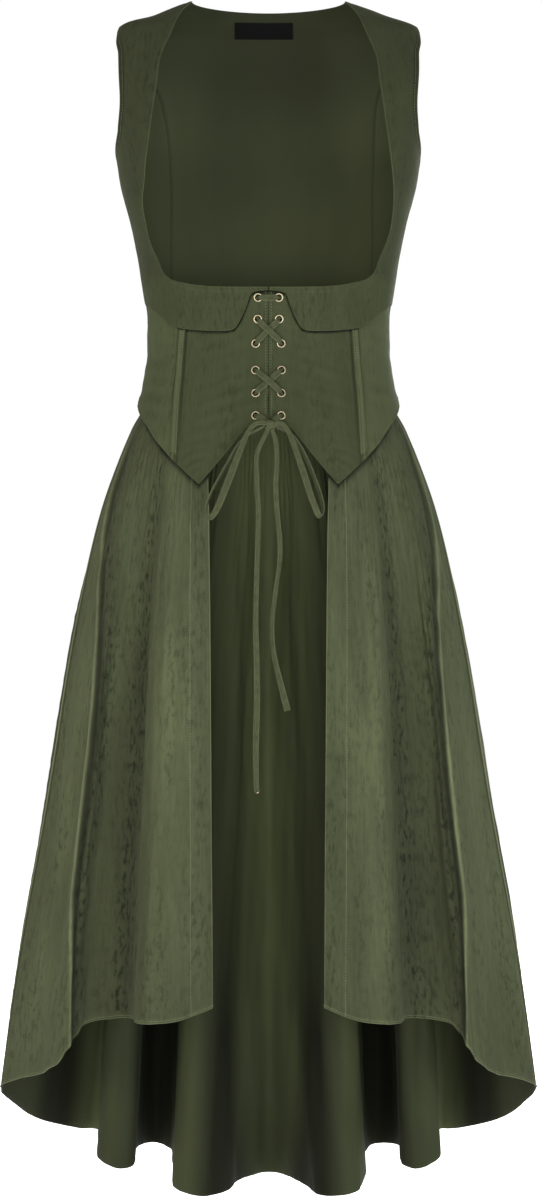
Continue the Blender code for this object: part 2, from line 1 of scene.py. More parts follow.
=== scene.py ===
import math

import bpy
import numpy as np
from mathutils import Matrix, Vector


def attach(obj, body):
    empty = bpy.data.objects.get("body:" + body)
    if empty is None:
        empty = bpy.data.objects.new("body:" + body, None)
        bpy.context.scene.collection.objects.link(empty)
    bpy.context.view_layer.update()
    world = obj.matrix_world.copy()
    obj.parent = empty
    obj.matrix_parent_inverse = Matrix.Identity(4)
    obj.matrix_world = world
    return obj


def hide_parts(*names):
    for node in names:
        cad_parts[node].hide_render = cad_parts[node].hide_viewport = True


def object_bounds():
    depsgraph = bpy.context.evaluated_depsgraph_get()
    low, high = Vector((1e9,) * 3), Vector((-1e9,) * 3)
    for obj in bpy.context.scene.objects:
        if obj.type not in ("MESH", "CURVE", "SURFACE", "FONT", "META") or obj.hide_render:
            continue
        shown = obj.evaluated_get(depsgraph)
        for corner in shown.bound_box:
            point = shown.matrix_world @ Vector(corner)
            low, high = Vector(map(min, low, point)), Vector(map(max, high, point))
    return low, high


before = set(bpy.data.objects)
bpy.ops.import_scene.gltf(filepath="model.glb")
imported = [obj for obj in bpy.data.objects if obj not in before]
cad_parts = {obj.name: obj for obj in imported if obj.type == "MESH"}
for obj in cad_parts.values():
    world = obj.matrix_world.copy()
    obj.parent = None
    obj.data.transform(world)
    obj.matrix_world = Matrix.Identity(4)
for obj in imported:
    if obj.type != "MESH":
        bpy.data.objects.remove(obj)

# The looks of a sleeveless, open-front overdress in dark green brushed microsuede, worn
# and filled out with no wearer. Tables are in millimetres, as the cloth is cut and placed
# in the frame: the front faces -Y, z is 0 at the neck points. Meshes are made in metres.

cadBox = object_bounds()
mm = 0.001
left, right = -1, 1
sideWords = ((left, "left"), (right, "right"))
root = "root"

print("camera, floor and light")
view = {
    "place": (0.0032, -3.4, -0.6448),
    "lens": 94.44,
    "sensor": 36,
    "floorBelowHem": 0.13,
    "floorSize": 14,
    "floorGlow": 0.95,  # lit from below, so that it stays as pale as the sweep behind
}
lights = (
    # name, place, aimed at, size, watts, colour
    ("key_softbox", (-2.0, -3.0, -0.3), (0, 0, -0.75), 1.4, 66, "#fffaf2"),
    ("side_softbox", (2.0, -3.0, -0.5), (0, 0, -0.75), 1.4, 74, "#f7faff"),
    ("front_softbox", (0.1, -3.7, -0.75), (0, 0, -0.75), 1.3, 46, "#ffffff"),
    ("back_fill", (0.8, 3.4, 0.2), (0, 0, -0.7), 2.4, 130, "#ffffff"),
)
worldLight = {"colour": "#ffffff", "seen": 1.0, "cast": 0.36}  # a white sweep, dimmer as light


def toLinear(code):
    # An sRGB hex code as linear red, green, blue and 1
    parts = [int(code[i:i + 2], 16) / 255 for i in (1, 3, 5)]
    return (*[p / 12.92 if p <= 0.04045 else ((p + 0.055) / 1.055) ** 2.4 for p in parts], 1)


def addNode(tree, kind, links=None, **settings):
    # A node with its settings, and its inputs set to values or joined to sockets
    node = tree.nodes.new(kind)
    for name, value in settings.items():
        setattr(node, name, value)
    for key, value in (links or {}).items():
        if isinstance(value, bpy.types.NodeSocket):
            tree.links.new(value, node.inputs[key])
        else:
            node.inputs[key].default_value = value
    return node


def mixed(tree, share, first, second):
    return addNode(tree, "ShaderNodeMix", {0: share, 6: first, 7: second}, data_type="RGBA").outputs[2]


def addObject(name, data):
    made = bpy.data.objects.new(name, data)
    bpy.context.scene.collection.objects.link(made)
    return made


def aimed(place, target):
    return (Vector(target) - Vector(place)).to_track_quat("-Z", "Y").to_euler()


def makeCamera():
    lens = bpy.data.cameras.new("camera")
    lens.lens, lens.sensor_width, lens.sensor_fit = view["lens"], view["sensor"], "AUTO"
    camera = addObject("camera", lens)
    camera.location = view["place"]
    camera.rotation_euler = (math.pi / 2, 0, 0)
    bpy.context.scene.camera = camera


def makeLights():
    for name, place, target, size, watts, colour in lights:
        lamp = bpy.data.lights.new(name, "AREA")
        lamp.shape, lamp.size, lamp.energy = "SQUARE", size, watts
        lamp.color = toLinear(colour)[:3]
        made = addObject(name, lamp)
        made.location = place
        made.rotation_euler = aimed(place, target)
    world = bpy.data.worlds.new("studio")
    world.use_nodes = True
    tree = world.node_tree
    shade = tree.nodes["Background"]
    shade.inputs["Color"].default_value = toLinear(worldLight["colour"])
    seen = addNode(tree, "ShaderNodeLightPath").outputs["Is Camera Ray"]
    strength = addNode(tree, "ShaderNodeMapRange", {
        "Value": seen, "To Min": worldLight["cast"], "To Max": worldLight["seen"]})
    tree.links.new(strength.outputs[0], shade.inputs["Strength"])
    bpy.context.scene.world = world
    bpy.context.scene.view_settings.view_transform = "Standard"


def makeFloor():
    half = view["floorSize"] / 2
    height = cadBox[0][2] - view["floorBelowHem"]
    corners = [(-half, -half, height), (half, -half, height), (half, half, height), (-half, half, height)]
    mesh = bpy.data.meshes.new("studio_floor")
    mesh.from_pydata(corners, [], [(0, 1, 2, 3)])
    painted = bpy.data.materials.new("matte white painted board")  # pale and dull, with no gloss
    painted.use_nodes = True
    tree = painted.node_tree
    shader = tree.nodes["Principled BSDF"]
    shader.inputs["Roughness"].default_value = 0.9
    place = addNode(tree, "ShaderNodeTexCoord").outputs["Object"]
    grain = addNode(tree, "ShaderNodeTexNoise", {"Vector": place, "Scale": 2.0, "Detail": 2.0})
    tint = mixed(tree, grain.outputs["Fac"], toLinear("#fafaf8"), toLinear("#fdfdfc"))
    for label in ("Base Color", "Emission Color"):
        tree.links.new(tint, shader.inputs[label])
    shader.inputs["Emission Strength"].default_value = view["floorGlow"]
    mesh.materials.append(painted)
    addObject("studio_floor", mesh)


makeCamera()
makeLights()
makeFloor()

print("materials")
suedeLooks = {
    # Colours of the nap where it lies flat, is brushed up, is crushed, and the pale edge colour, laid where
    # the nap is rubbed on an edge and as a painted highlight on ridges and crowns
    "pressed": {"flat": "#3a3f2a", "brushed": "#424830", "crushed": "#282c1a", "edge": "#565c41"},
    "skirt": {"flat": "#444933", "brushed": "#50563d", "crushed": "#24281a", "edge": "#767c5c"},
}
backLook = {"flat": "#535a3d", "brushed": "#5b6243"}
paintedShadeLook = {"colour": "#080904", "most": 0.97}  # painted shade, down in the folds and under the edges
napSizes = {
    # Widths and lengths of the marks in the nap, in mm
    "cloud": (38, 170),
    "crush": (4.4, 12),
    "crushPlace": (26, 190),
    "streak": (2.6, 38),
    "fibre": (0.9, 4.5),
    "backCloud": (60, 150),
    "knit": (0.9, 0.9),
    "tieMark": (1.6, 7),
    "tieFibre": (0.7, 2.4),
}


def stretched(tree, place, size, detail, roughness=0.55):
    # Noise whose marks are size mm wide and long, on the cloth's own UV in metres
    scale = (1 / (size[0] * mm), 1 / (size[1] * mm), 1)
    spot = addNode(tree, "ShaderNodeMapping", {"Vector": place, "Scale": scale}, vector_type="POINT")
    noise = addNode(tree, "ShaderNodeTexNoise", {
        "Vector": spot.outputs[0], "Scale": 1.0, "Detail": detail, "Roughness": roughness,
    })
    return noise.outputs["Fac"]


def between(tree, value, low, high, most=1.0):
    return addNode(tree, "ShaderNodeMapRange", {
        "Value": value, "From Min": low, "From Max": high, "To Min": 0.0, "To Max": most,
    }, clamp=True).outputs[0]


def times(tree, first, second):
    return addNode(tree, "ShaderNodeMath", {0: first, 1: second}, operation="MULTIPLY").outputs[0]


def newMaterial(name, roughness, metallic=0.0, sheen=0.0, sheenTint="#ffffff", specular=0.5):
    made = bpy.data.materials.new(name)
    made.use_nodes = True
    shader = made.node_tree.nodes["Principled BSDF"]
    looks = {
        "Roughness": roughness, "Metallic": metallic, "Specular IOR Level": specular,
        "Sheen Weight": sheen, "Sheen Roughness": 0.45, "Sheen Tint": toLinear(sheenTint),
    }
    for label, value in looks.items():
        shader.inputs[label].default_value = value
    return made, made.node_tree, shader


def finished(made, shader, colour, relief=None):
    # Joins a material's colour, and its fine relief where it has one
    made.node_tree.links.new(colour, shader.inputs["Base Color"])
    if relief:
        made.node_tree.links.new(relief, shader.inputs["Normal"])
    return made


def bumped(tree, height, strength, distance, **under):
    return addNode(tree, "ShaderNodeBump", {
        "Height": height, "Strength": strength, "Distance": distance, **under}).outputs[0]


def clothPlace(tree):
    return addNode(tree, "ShaderNodeUVMap", uv_map="cloth").outputs["UV"]


def objectPlace(tree):
    return addNode(tree, "ShaderNodeTexCoord").outputs["Object"]


def kept(tree, label):
    # A value from 0 to 1 that the piece's own points keep
    return addNode(tree, "ShaderNodeAttribute", attribute_name=label).outputs["Fac"]


def withPaintedShade(tree, colour):
    # Painted shade: darker where the cloth lies deep in a fold or under an edge, by the piece's own attribute
    deep = times(tree, kept(tree, "painted_shade"), paintedShadeLook["most"])
    return mixed(tree, deep, colour, toLinear(paintedShadeLook["colour"]))


def suede(name, suedeLook, crushed, clouds):
    # Brushed polyester microsuede: a short nap that shows hand marks and crushed streaks,
    # quite matte, with a sheen bloom where it turns away, a pale edge colour that is partly rubbed nap and
    # partly painted highlight, and painted shade
    made, tree, shader = newMaterial(name, 0.9, sheen=0.1, sheenTint="#b4b99a", specular=0.1)
    look = {key: toLinear(code) for key, code in suedeLook.items()}
    place = clothPlace(tree)
    cloud = between(tree, stretched(tree, place, napSizes["cloud"], 3), 0.38, 0.66, clouds)
    mark = between(tree, stretched(tree, place, napSizes["crush"], 4, 0.62), 0.49, 0.62)
    where = between(tree, stretched(tree, place, napSizes["crushPlace"], 2), 0.44, 0.6, crushed)
    handled = {0: where, 1: kept(tree, "crush")}
    where = addNode(tree, "ShaderNodeMath", handled, operation="ADD", use_clamp=True).outputs[0]
    marked = times(tree, mark, where)
    streak = between(tree, stretched(tree, place, napSizes["streak"], 2), 0.42, 0.68, 0.22)
    fibre = stretched(tree, place, napSizes["fibre"], 2)
    colour = mixed(tree, cloud, look["flat"], look["brushed"])
    colour = mixed(tree, marked, colour, look["crushed"])
    colour = mixed(tree, streak, colour, look["crushed"])
    colour = mixed(tree, between(tree, fibre, 0.35, 0.75, 0.2), colour, look["brushed"])
    colour = mixed(tree, kept(tree, "rubAndHighlight"), colour, look["edge"])
    nap = bumped(tree, fibre, 0.22, 0.0006)
    crumple = bumped(tree, marked, 0.35, 0.0012, Normal=nap)
    return finished(made, shader, withPaintedShade(tree, colour), crumple)


def clothBack():
    # The smooth knitted back of the microsuede: flatter than the nap, its lighter base colour darkened by
    # painted shade
    made, tree, shader = newMaterial(
        "microsuede knitted back", 0.86, sheen=0.03, sheenTint="#9aa27c", specular=0.1)
    place = clothPlace(tree)
    cloud = between(tree, stretched(tree, place, napSizes["backCloud"], 2), 0.38, 0.66, 0.7)
    colour = mixed(tree, cloud, toLinear(backLook["flat"]), toLinear(backLook["brushed"]))
    knit = stretched(tree, place, napSizes["knit"], 1)
    return finished(made, shader, withPaintedShade(tree, colour), bumped(tree, knit, 0.12, 0.0004))


def tieMaterial():
    # The same microsuede folded and sewn into a narrow tie, its nap rubbed lighter
    made, tree, shader = newMaterial(
        "folded microsuede tie", 0.85, sheen=0.12, sheenTint="#c4cca4", specular=0.12)
    place = clothPlace(tree)
    mark = between(tree, stretched(tree, place, napSizes["tieMark"], 3), 0.4, 0.65, 0.75)
    fibre = stretched(tree, place, napSizes["tieFibre"], 2)
    colour = mixed(tree, mark, toLinear("#393d29"), toLinear("#292c1b"))
    colour = mixed(tree, kept(tree, "rubAndHighlight"), colour, toLinear("#4a4f39"))
    return finished(made, shader, colour, bumped(tree, fibre, 0.35, 0.0005))


def threadMaterial():
    # Spun polyester sewing thread, a shade lighter than the cloth, with a faint gloss
    made, tree, shader = newMaterial("spun polyester thread", 0.6, sheen=0.1, specular=0.3)
    twist = addNode(tree, "ShaderNodeTexNoise", {"Vector": objectPlace(tree), "Scale": 900.0, "Detail": 1.0})
    return finished(made, shader, mixed(tree, twist.outputs["Fac"], toLinear("#4d5338"), toLinear("#666d4a")))


def brassMaterial(name, worn, aged):
    # Antique plated brass: pale and worn on the dome; its dark brown copy in the barrel is painted shade
    # inside the hole
    made, tree, shader = newMaterial(name, 0.3, metallic=1.0)
    age = addNode(tree, "ShaderNodeTexNoise", {"Vector": objectPlace(tree), "Scale": 700.0, "Detail": 3.0})
    colour = mixed(tree, between(tree, age.outputs["Fac"], 0.4, 0.7, 0.6), toLinear(worn), toLinear(aged))
    wear = addNode(tree, "ShaderNodeMapRange", {"Value": age.outputs["Fac"], "To Min": 0.34, "To Max": 0.5})
    tree.links.new(wear.outputs[0], shader.inputs["Roughness"])
    return finished(made, shader, colour)


def labelMaterial():
    # Black damask-woven polyester: a fine rib across, with a faint satin gloss
    made, tree, shader = newMaterial("black woven polyester label", 0.8, sheen=0.01, specular=0.06)
    ribsPerMetre = 1 / (0.7 * mm) / 6.28
    rib = addNode(tree, "ShaderNodeTexWave", {
        "Vector": clothPlace(tree), "Scale": ribsPerMetre, "Distortion": 0.4,
    }, wave_type="BANDS", bands_direction="Y").outputs["Fac"]
    colour = mixed(tree, rib, toLinear("#030303"), toLinear("#070708"))
    return finished(made, shader, colour, bumped(tree, rib, 0.3, 0.0003))


bodiceSuede = suede("brushed microsuede, pressed", suedeLooks["pressed"], 0.45, 0.6)
skirtSuede = suede("brushed microsuede, crushed nap", suedeLooks["skirt"], 0.4, 0.85)
backing = clothBack()
tieSuede = tieMaterial()
thread = threadMaterial()
brass = brassMaterial("antique brass plate", "#989178", "#6c6147")
# Painted shade: a dark brown copy of the brass for the barrels, which lie in shade inside the holes
shadedBrass = brassMaterial("brass darkened in the barrel", "#4a3b28", "#2b2116")
wovenBlack = labelMaterial()

torsoRings = (
    # level, height, halfWidth, frontDepth, backDepth, armholeGap in degrees
    ("neck", 0, 82, 26, 62, 0),
    ("slope", -14, 121, 37, 68, 0),
    ("shoulderTip", -29, 160, 49, 76, 0),
    ("yoke", -60, 167, 69, 87, 18),
    ("armhole", -105, 172.5, 92, 95, 25),
    ("armholeLow", -142, 170, 104, 97, 20),
    ("underarm", -176, 162, 111, 95, 0),
    ("bust", -203, 157, 114, 92, 0),
    ("belowBust", -240, 147, 112, 88, 0),
    ("ribs", -281, 138.8, 106, 84, 0),
    ("underbust", -310, 133.5, 100, 82, 0),
    ("cinch", -342, 129.3, 95, 80, 0),
    ("waist", -372, 129, 92, 80, 0),
    ("highHip", -412, 134, 96, 84, 0),
    ("basque", -440, 141.5, 101, 90, 0),
    ("hip", -480, 151, 107, 98, 0),
    ("basquePoint", -530, 163, 112, 106, 0),
)


def monotone(keys, values, at):
    # A smooth curve through the values that never overshoots them
    keys, values, at = (np.asarray(a, float) for a in (keys, values, at))
    step = np.diff(keys)
    rise = np.diff(values) / step
    both = rise[:-1] * rise[1:]
    total = rise[:-1] + rise[1:]
    inner = np.where(both > 0, 2 * both / np.where(total == 0, 1, total), 0)
    slope = np.concatenate([[rise[0]], inner, [rise[-1]]])
    i = np.clip(np.searchsorted(keys, at, side="right") - 1, 0, len(step) - 1)
    t = (at - keys[i]) / step[i]
    return (
        values[i] * (1 + 2 * t) * (1 - t) ** 2
        + step[i] * slope[i] * t * (1 - t) ** 2
        + values[i + 1] * t * t * (3 - 2 * t)
        + step[i] * slope[i + 1] * t * t * (t - 1)
    )


def rounded(rows, at):
    # A rounded curve through the rows, where at counts rows from the first
    rows, at = np.asarray(rows, float), np.asarray(at, float)
    last = len(rows) - 1
    i = np.clip(at.astype(int), 0, last - 1)
    t = (at - i)[..., None]
    a, b = rows[np.clip(i - 1, 0, last)], rows[i]
    c, d = rows[i + 1], rows[np.clip(i + 2, 0, last)]
    return 0.5 * (2 * b + (c - a) * t + (2 * a - 5 * b + 4 * c - d) * t**2 + (3 * b - a - 3 * c + d) * t**3)


def straight(rows, at):
    # Straight stretches through the rows
    rows, at = np.asarray(rows, float), np.asarray(at, float)
    number = np.arange(len(rows))
    return np.stack([np.interp(at, number, rows[:, k]) for k in range(rows.shape[1])], -1)


def column(table, index):
    return [row[index] for row in table]


def torsoValue(index, level):
    return monotone(range(len(torsoRings)), column(torsoRings, index), level)


def levelAt(z):
    fine = np.linspace(0, len(torsoRings) - 1, 3201)
    return np.interp(-np.asarray(z, float), -torsoValue(1, fine), fine)


def torsoPoint(angle, level):
    # Rings of two half ellipses, a deeper one in front and a flatter one behind
    turn = np.radians(angle)
    width, front, back = (torsoValue(i, level) for i in (2, 3, 4))
    depth = np.where(np.cos(turn) > 0, front, back)
    return np.stack([width * np.sin(turn), -depth * np.cos(turn), torsoValue(1, level)], -1)


def normalsOf(surface, u, v, step=1e-3):
    across = surface(u + step, v) - surface(u - step, v)
    down = surface(u, v + step) - surface(u, v - step)
    normal = np.cross(down, across)
    return normal / np.maximum(np.linalg.norm(normal, axis=-1, keepdims=True), 1e-12)


def torsoNormal(angle, level):
    level = np.clip(level, 2e-2, len(torsoRings) - 1.02)
    return normalsOf(torsoPoint, np.asarray(angle, float), level, 1e-2)


def atFront(x, z):
    level = levelAt(z)
    share = np.clip(np.asarray(x, float) / torsoValue(2, level), 0, 1)
    return np.stack([np.degrees(np.arcsin(share)), level], -1)


def atBack(x, z):
    spot = atFront(x, z)
    return np.stack([180 - spot[..., 0], spot[..., 1]], -1)


def onArmhole(z, side=-1):
    # The armhole's front edge (side -1) or back edge (side 1); below it, the side seam
    level = levelAt(z)
    return np.stack([90 + side * torsoValue(5, level), level], -1)


def coons(top, foot, first, last, u, v):
    # The patch between four edges. top and foot run along u, the others down v
    u, v = u[:, None, None], v[None, :, None]
    top, foot, first, last = top[:, None], foot[:, None], first[None], last[None]
    flat = (1 - v) * top + v * foot + (1 - u) * first + u * last
    corners = (1 - u) * ((1 - v) * top[:1] + v * foot[:1]) + u * ((1 - v) * top[-1:] + v * foot[-1:])
    return flat - corners


def smoothStep(value, low, high):
    share = np.clip((value - low) / (high - low), 0, 1)
    return share * share * (3 - 2 * share)


def hump(value, centre, width):
    return np.exp(-(((value - centre) / width) ** 2))


def onTorso(spots):
    # The torso's surface at spots of angle and level, and the ways out of it there
    return torsoPoint(spots[..., 0], spots[..., 1]), torsoNormal(spots[..., 0], spots[..., 1])


def torsoCloth(angle, base):
    # Where the cloth's grain lies on the bodice: round it, and straight down
    meanRadius = 150
    return np.radians(angle) * meanRadius, -base[..., 2]


def soft(across, along, widths, seed):
    # Gentle unevenness, about -1 to 1, whose marks are widths mm across and along
    chance = np.random.default_rng(seed)
    total = np.zeros(np.broadcast(across, along).shape)
    waves = 7
    for _ in range(waves):
        a, b = chance.uniform(0.45, 1.3, 2) * chance.choice([-1, 1], 2)
        spot = a * across / widths[0] + b * along / widths[1]
        total += np.sin(math.tau * spot + chance.uniform(0, math.tau))
    return total / math.sqrt(waves) / 1.2


shell = {
    "thick": 1.4,
    "rimRound": 0.75,
    "rimSteps": (0, 0.1, 0.3, 0.65, 1.2, 2.0, 3.0),
    "seamGroove": 0.85,
    "seamPuff": 0.35,
    "lap": 0.25,
    "insideShade": 0.3,  # how deep the painted shade on the inside of the front lies
}
sewnHems = {
    # width of the turned hem, its rise, the stitch groove's depth, the puckers' depth and length
    "hem": (6.2, 0.5, 0.55, 0.22, 6.0),
    "narrow": (3.0, 0.45, 0.4, 0.2, 5.0),
    "facing": (29.0, 0.3, 0.5, 0.35, 9.0),
}


def shares(count, length):
    # Places from 0 to 1, close together at both ends so that the rims can be round
    close = np.array(shell["rimSteps"]) / length
    middle = np.linspace(close[-1], 1 - close[-1], count)
    return np.concatenate([close[:-1], middle, (1 - close[:-1])[::-1]])


def runOf(line):
    # How far along a line of points each one lies
    return np.concatenate([[0], np.cumsum(np.linalg.norm(np.diff(line, axis=0), axis=1))])


def runs(grid):
    # How far along both ways of a grid each of its points lies
    acrossStep = np.linalg.norm(np.diff(grid, axis=0), axis=-1)
    downStep = np.linalg.norm(np.diff(grid, axis=1), axis=-1)
    across = np.concatenate([np.zeros((1, grid.shape[1])), np.cumsum(acrossStep, 0)])
    down = np.concatenate([np.zeros((grid.shape[0], 1)), np.cumsum(downStep, 1)], 1)
    return across, down


def edgesOf(grid):
    # How far each point is from each edge, and how far along that edge
    across, down = runs(grid)
    return {
        "first": (across, down), "last": (across[-1:] - across, down),
        "top": (down, across), "foot": (down[:, -1:] - down, across),
    }


def sewnEdge(kind, away, along, seed):
    # Height over the flat cloth near an edge, and how pale the nap is painted there: rubbed along hems, a
    # painted highlight along a raised seam ridge
    if kind == "seam":
        wave = 1 + 0.35 * soft(away, along, (40, 26), seed)
        puff = shell["seamPuff"] * hump(away, 3.8, 1.9) * wave
        return puff - shell["seamGroove"] * hump(away, 0, 1.5), 0 * away
    if kind == "ridge":
        # A raised seam ridge, with a painted highlight along its top and a dip beside it
        return 0.9 * hump(away, 0, 1.5) - 0.35 * hump(away, 4.5, 2.2), 0.95 * hump(away, 0, 1.5)
    width, rise, groove, pucker, pitch = sewnHems[kind]
    beat = np.sin(math.tau * along / pitch + 1.6 * soft(away, along, (60, 31), seed))
    height = rise * (1 - smoothStep(away, width * 0.82, width * 1.08))
    height = height - groove * hump(away, width * 0.86, 0.9)
    height = height + pucker * beat * hump(away, width * 0.8, max(2.4, width * 0.16))
    rubAndHighlight = 0.5 * hump(away, 0, 0.9) + 0.16 * hump(away, width * 0.86, 0.8)
    return height, rubAndHighlight


def keepUv(mesh, spots):
    # The cloth's own UV in metres, from a spot for each point of the mesh
    corner = np.zeros(len(mesh.loops), np.int32)
    mesh.loops.foreach_get("vertex_index", corner)
    mesh.uv_layers.new(name="cloth").data.foreach_set("uv", spots[corner].astype(np.float32).ravel())


def keepValue(mesh, label, values):
    layer = mesh.attributes.new(label, "FLOAT", "POINT")
    layer.data.foreach_set("value", values.astype(np.float32).ravel())


def shellMesh(name, outer, inner, uv, rubAndHighlight, painted_shade, crush, finishes):
    # A closed sheet of cloth between two grids of points in mm, with its rim all round
    rows, columns = outer.shape[:2]
    half = rows * columns
    index = np.arange(half).reshape(rows, columns)
    quads = np.stack([index[:-1, :-1], index[1:, :-1], index[1:, 1:], index[:-1, 1:]], -1).reshape(-1, 4)
    rim = np.concatenate([index[:, 0], index[-1, 1:], index[-2::-1, -1], index[0, -2:0:-1]])
    after = np.roll(rim, -1)
    wall = np.stack([after, rim, rim + half, after + half], -1)
    faces = np.concatenate([quads, quads[:, ::-1] + half, wall])
    points = np.concatenate([outer.reshape(-1, 3), inner.reshape(-1, 3)]) * mm
    a, b, c, d = (points[faces[:, k]] for k in range(4))
    if np.einsum("ij,ij->i", a, np.cross(b, c) + np.cross(c, d)).sum() < 0:
        faces = faces[:, ::-1]
    mesh = bpy.data.meshes.new(name)
    mesh.from_pydata(points.tolist(), [], faces.tolist())
    for finish in finishes:
        mesh.materials.append(finish)
    layer = np.zeros(len(faces), np.int32)
    layer[len(quads):2 * len(quads)] = len(finishes) - 1
    mesh.polygons.foreach_set("material_index", layer)
    keepUv(mesh, np.concatenate([uv.reshape(-1, 2)] * 2))
    # Keeps the pale edge paint, the painted shade and the crush marks on the points
    for label, layers in (("rubAndHighlight", (rubAndHighlight, rubAndHighlight)), ("painted_shade", painted_shade), ("crush", (crush, crush))):
        values = [np.broadcast_to(np.clip(v, 0, 1), rubAndHighlight.shape).ravel() for v in layers]
        keepValue(mesh, label, np.concatenate(values))
    mesh.shade_smooth()
    return addObject(name, mesh)


def clothPanel(name, base, normal, side, relief, rubAndHighlight, edges, finishes=(bodiceSuede, backing),
               painted_shade=(0.0, 0.0), crush=0.12, place=None, thick=shell["thick"]):
    # A shell over a grid of base points on the body side, raised by relief in mm;
    # its painted shade, a pair for the outer and inner faces, darkens their colour from 0 to 1
    near = np.minimum.reduce([np.broadcast_to(edges[k][0], base.shape[:2]) for k in edges])
    roundIn = np.sqrt(1 - (1 - np.clip(near / shell["rimRound"], 0, 1)) ** 2)
    halfWall = thick / 2 * (0.16 + 0.84 * roundIn)
    middle = base + normal * (thick / 2 + relief)[..., None]
    mirror = np.array([side, 1, 1])
    outer = (middle + normal * halfWall[..., None]) * mirror
    inner = (middle - normal * halfWall[..., None]) * mirror
    place = runs(base) if place is None else place
    shift = (sum(map(ord, name)) % 17) * 0.37
    uv = np.stack([place[0] * mm + shift, place[1] * mm], -1)
    return shellMesh(name, outer, inner, uv, rubAndHighlight, painted_shade, crush, finishes), outer


stitchLines = []


def stitchAlong(grid, edges, key, away, start=0.0, end=1.0):
    # Keeps a line of stitches on a grid of points, away mm from one of its edges
    gap = np.broadcast_to(edges[key][0], grid.shape[:2])
    if key in ("top", "foot"):
        grid, gap = grid.transpose(1, 0, 2), gap.T
    line = []
    for j in range(grid.shape[1]):
        order = np.argsort(gap[:, j])
        line.append([np.interp(away, gap[order, j], grid[order, j, k]) for k in range(3)])
    line = np.array(line)
    stitchLines.append(line[int(start * len(line)):int(end * len(line))])


def ownCloth(made, node):
    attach(made, root)
    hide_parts(node)


print("bodice back")
bodice = {
    "seamXZ": (
        # x, z of the seam between the centre back and the side back
        (143, -64), (131, -72), (123, -84), (116, -106), (111.5, -131), (108.5, -162),
        (106.6, -200), (107, -240), (107, -281), (102, -330), (94, -375), (90, -420),
    ),
    "seamRightShift": (0, 0, 0, 2, 5, 7, 7, 7, 6, 4, 2, 0),
    "seamTop": -58,
    "sideBackTop": -64,
    "backHem": -420,
    "stitchIn": 5.4,
}


def backSeam(side, z):
    # The photo shows this seam a little further out on the right
    x, height = np.transpose(bodice["seamXZ"])
    shifted = x + np.array(bodice["seamRightShift"]) * (side == right)
    return atBack(monotone(-height, shifted, -np.asarray(z)), z)


def lapped(base, *ends):
    # Lets a panel's sewn edges reach a hair under the next panel, so that no light comes through
    for axis, end in ends:
        grid = np.moveaxis(base, axis, 0)
        edge, inner = (grid[0], grid[1]) if end == 0 else (grid[-1], grid[-2])
        away = edge - inner
        edge += away / np.maximum(np.linalg.norm(away, axis=-1, keepdims=True), 1e-9) * shell["lap"]
    return base


def onArmholeEdge(away, z):
    # The armhole's edge stands out below the shoulder tip, where the bands are turned in
    return (3.6 * hump(z, -86, 32) - 1.2 * hump(z, -38, 8)) * (1 - smoothStep(away, 4, 34))


def armholeDip(z):
    # The cloth sinks in a little by the lowest part of the armhole
    return 1.9 * hump(z, -158, 15)


# Painted shade: a dark line along each sewn seam, where its groove lies
def seamGrooveShade(edges, *keys):
    return sum(0.5 * hump(edges[key][0], 0, 1.6) for key in keys)


def insideShade(base):
    # Painted shade on the inside of the back, evenly dim from the neck down to the waist
    down = -base[..., 2]
    outward = smoothStep(np.abs(base[..., 0]), 20, 100)
    return 0.9 - 0.1 * smoothStep(down, 50, 150) - 0.06 * outward - 0.1 * smoothStep(down, 170, 300)


